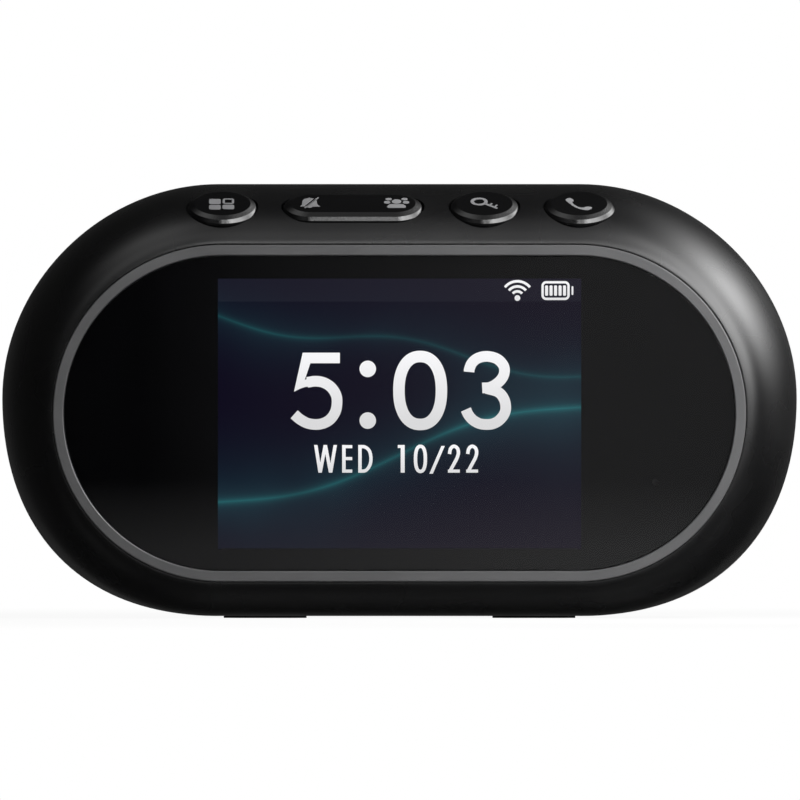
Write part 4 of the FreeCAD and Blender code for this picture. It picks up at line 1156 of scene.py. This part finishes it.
def only_in_reflections(made):
    """A piece of the stage that shows in gloss and casts no shadow."""
    made.visible_camera = False
    made.visible_diffuse = False
    made.visible_shadow = False
    made.visible_transmission = False


def soft_box_glow(tree_nodes, links):
    """The brightness of the studio in each direction: its dark walls and the soft boxes on them."""
    place = tree_nodes.new("ShaderNodeTexCoord")
    way = tree_nodes.new("ShaderNodeVectorMath")
    way.operation = "NORMALIZE"
    links.new(place.outputs["Object"], way.inputs[0])
    total = room_tone
    for off_deg, round_deg, level, sharpness in soft_boxes:
        off, turn = math.radians(off_deg), math.radians(round_deg)
        middle = (math.sin(off) * math.cos(turn), -math.cos(off), math.sin(off) * math.sin(turn))
        near = tree_nodes.new("ShaderNodeVectorMath")
        near.operation = "DOT_PRODUCT"
        near.inputs[1].default_value = middle
        links.new(way.outputs["Vector"], near.inputs[0])
        fall = calculation(tree_nodes, links, "MULTIPLY_ADD", near.outputs["Value"], sharpness, -sharpness)
        glow = calculation(tree_nodes, links, "EXPONENT", fall)
        total = calculation(tree_nodes, links, "MULTIPLY_ADD", glow, level, total)
    return total


def dark_room():
    """A dark studio with soft boxes round the object. It shows only in the object's gloss."""
    work = bmesh.new()
    bmesh.ops.create_icosphere(work, subdivisions=4, radius=room_radius)
    mesh = bpy.data.meshes.new("room")
    work.to_mesh(mesh)
    work.free()
    made = new_object("room", mesh)
    material, tree_nodes, links, surface = shader("room_dark", (0, 0, 0), 1.0, 0.0)
    surface.inputs["Emission Color"].default_value = (1, 1, 1, 1)
    links.new(soft_box_glow(tree_nodes, links), surface.inputs["Emission Strength"])
    paint(made, material)
    only_in_reflections(made)


def front_card():
    """A card in front, hidden from the camera, with light that grows towards its lower right."""
    half, y = card_side / 2, -card_distance
    made = cuboid("front_card", (-half, y - MM, mid_z - half), (half, y, mid_z + half))
    material, tree_nodes, links, surface = shader("card_light", (0, 0, 0), 1.0, 0.0)
    place = own_place(tree_nodes, links)
    across = spread(tree_nodes, links, place["X"], card_dark_x, card_light_x, 0.0, card_across)
    down = spread(tree_nodes, links, place["Z"], card_dark_z, card_light_z, 0.0, card_down)
    both = calculation(tree_nodes, links, "ADD", across, down)
    surface.inputs["Emission Color"].default_value = (1, 1, 1, 1)
    links.new(both, surface.inputs["Emission Strength"])
    paint(made, material)
    only_in_reflections(made)


def seen_share(tree_nodes, links):
    """One for rays from the camera and for those in gloss and glass, else zero."""
    path = tree_nodes.new("ShaderNodeLightPath")
    total = path.outputs["Is Camera Ray"]
    for name in ("Is Glossy Ray", "Is Transmission Ray"):
        total = calculation(tree_nodes, links, "MAXIMUM", total, path.outputs[name])
    return total


def floor_piece():
    """A white floor that keeps the object's shadow close by and fades to pure white round it."""
    made = cuboid("floor", (-floor_half, -floor_half, -floor_thickness), (floor_half, floor_half, 0))
    material, tree_nodes, links, surface = shader("floor_white", (floor_tone,) * 3, 0.8, 0.0)
    light = tree_nodes.new("ShaderNodeEmission")
    light.inputs["Strength"].default_value = 1.0
    place = tree_nodes.new("ShaderNodeTexCoord")
    reach = tree_nodes.new("ShaderNodeVectorMath")
    reach.operation = "LENGTH"
    links.new(place.outputs["Object"], reach.inputs[0])
    far = reach.outputs["Value"]
    fade = spread(tree_nodes, links, far, shadow_near, shadow_far, floor_white_near, 1.0, "SMOOTHSTEP")
    share = calculation(tree_nodes, links, "MULTIPLY", seen_share(tree_nodes, links), fade)
    blend = tree_nodes.new("ShaderNodeMixShader")
    links.new(share, blend.inputs["Fac"])
    links.new(surface.outputs["BSDF"], blend.inputs[1])
    links.new(light.outputs["Emission"], blend.inputs[2])
    links.new(blend.outputs["Shader"], tree_nodes["Material Output"].inputs["Surface"])
    paint(made, material)
    made.visible_glossy = False


def white_world():
    """White behind the object, and an even dim light from all sides on matt surfaces."""
    world = bpy.data.worlds.new("studio")
    bpy.context.scene.world = world
    world.use_nodes = True
    tree = world.node_tree
    background = tree.nodes["Background"]
    background.inputs["Color"].default_value = (1, 1, 1, 1)
    seen = seen_share(tree.nodes, tree.links)
    level = spread(tree.nodes, tree.links, seen, 0.0, 1.0, world_level, 1.0)
    tree.links.new(level, background.inputs["Strength"])


def camera_piece():
    """A camera in front with a long lens, which frames the object as the photograph does."""
    span = image_side * body_width / photo_span
    data = bpy.data.cameras.new("view")
    data.sensor_width = sensor_width
    data.lens = sensor_width * camera_distance / span
    data.clip_start = camera_distance / 10
    data.clip_end = camera_distance * 10
    made = new_object("view", data)
    scale = body_width / photo_span
    x = (image_side / 2 - photo_centre_x) * scale
    z = base_z + (photo_low_edge - image_side / 2) * scale
    made.location = (x, face_y - camera_distance, z)
    made.rotation_euler = (math.radians(90), 0, 0)
    bpy.context.scene.camera = made
    bpy.context.scene.view_settings.view_transform = "Standard"


# Making

black = plastic("housing_plastic", housing_tone, housing_roughness, 0.12 * MM)
grey = plastic("ring_plastic", ring_tone, 0.38, 0.1 * MM)
key_gloss = plastic("key_plastic", key_tone, 0.16, 0.4 * MM)
finishes = {
    "housing_black": black,
    "ring_grey": grey,
    "key_black": key_gloss,
    "display_cell": plastic("cell_glass", (0.004, 0.004, 0.006), 0.2, 1.0 * MM),
    "diffuser": plastic("diffuser_sheet", (0.85, 0.85, 0.85), 0.4, 0.3 * MM),
    "tray_steel": metal("tray_metal", (0.6, 0.6, 0.6), 0.4, (1, 1, 6)),
    "frame_plastic": plastic("bracket_plastic", (0.05, 0.05, 0.05), 0.5, 0.2 * MM),
    "film": plastic("film_brown", (0.45, 0.22, 0.05), 0.35, 0.4 * MM),
    "board_green": plastic("board_mask", (0.02, 0.16, 0.06), 0.35, 0.3 * MM),
    "chip_black": plastic("chip_body", (0.03, 0.03, 0.03), 0.6, 0.1 * MM),
    "can_steel": metal("can_metal", (0.7, 0.7, 0.7), 0.35),
    "socket_white": plastic("socket_plastic", (0.8, 0.78, 0.7), 0.45, 0.2 * MM),
    "screw_black": metal("screw_dark", (0.05, 0.05, 0.05), 0.35),
    "screw_steel": metal("screw_bright", (0.6, 0.6, 0.6), 0.35),
    "pin_steel": metal("pin_metal", (0.65, 0.65, 0.65), 0.25, (1, 8, 1)),
    "rubber_black": plastic("rubber", (0.03, 0.03, 0.03), 0.8, 0.15 * MM, 0.3),
    "foam_black": plastic("foam", (0.05, 0.05, 0.05), 0.95, 0.3 * MM, 0.1),
    "tape": plastic("tape_film", (0.08, 0.08, 0.08), 0.6, 0.3 * MM),
    "switch_dark": plastic("switch_plastic", (0.06, 0.06, 0.06), 0.45, 0.15 * MM),
    "plunger_ivory": plastic("plunger_plastic", (0.75, 0.72, 0.62), 0.4, 0.15 * MM),
    "speaker_steel": metal("speaker_metal", (0.08, 0.08, 0.08), 0.45),
    "cone": plastic("cone_paper", (0.06, 0.06, 0.06), 0.85, 0.3 * MM, 0.2),
    "magnet": plastic("magnet_black", (0.1, 0.1, 0.1), 0.5, 0.25 * MM),
    "cell_silver": metal("cell_foil", (0.62, 0.62, 0.64), 0.4),
    "lead_dark": plastic("lead_sleeve", (0.05, 0.05, 0.05), 0.5, 0.2 * MM),
    "port_steel": metal("port_metal", (0.62, 0.62, 0.63), 0.3),
    "tongue_black": plastic("tongue_plastic", (0.04, 0.04, 0.04), 0.45, 0.15 * MM),
    "copper_film": metal("copper", (0.7, 0.4, 0.2), 0.35),
    "window": plastic("print_black", (0.0025, 0.0025, 0.003), 0.6, 0.3 * MM, 0.0),
}
for part in frame["record"]["subparts"]:
    paint(nodes[part["node"]], finishes[part["material_slot"]])
paint(front_shell(), black)
paint(rear_shell(), black)
key_pieces(key_gloss)
ring_piece(grey)
lens_piece(glass_material(), coated_material())
print_piece(finishes["window"])
picture_piece(picture_material())
clock_signs(glowing("clock_light", text_low, text_high, ring_z - 2 * MM, ring_z + 12 * MM))
date_signs(glowing("date_light", text_low, text_high, ring_z - 12 * MM, ring_z - 6 * MM))
status_signs(glowing("status_light", text_low, text_high, ring_z + 20 * MM, ring_z + 26 * MM))
key_marks(plastic("mark_grey", mark_tone, 0.5, 0.2 * MM))

dark_room()
front_card()
floor_piece()
white_world()
near_light()
camera_piece()
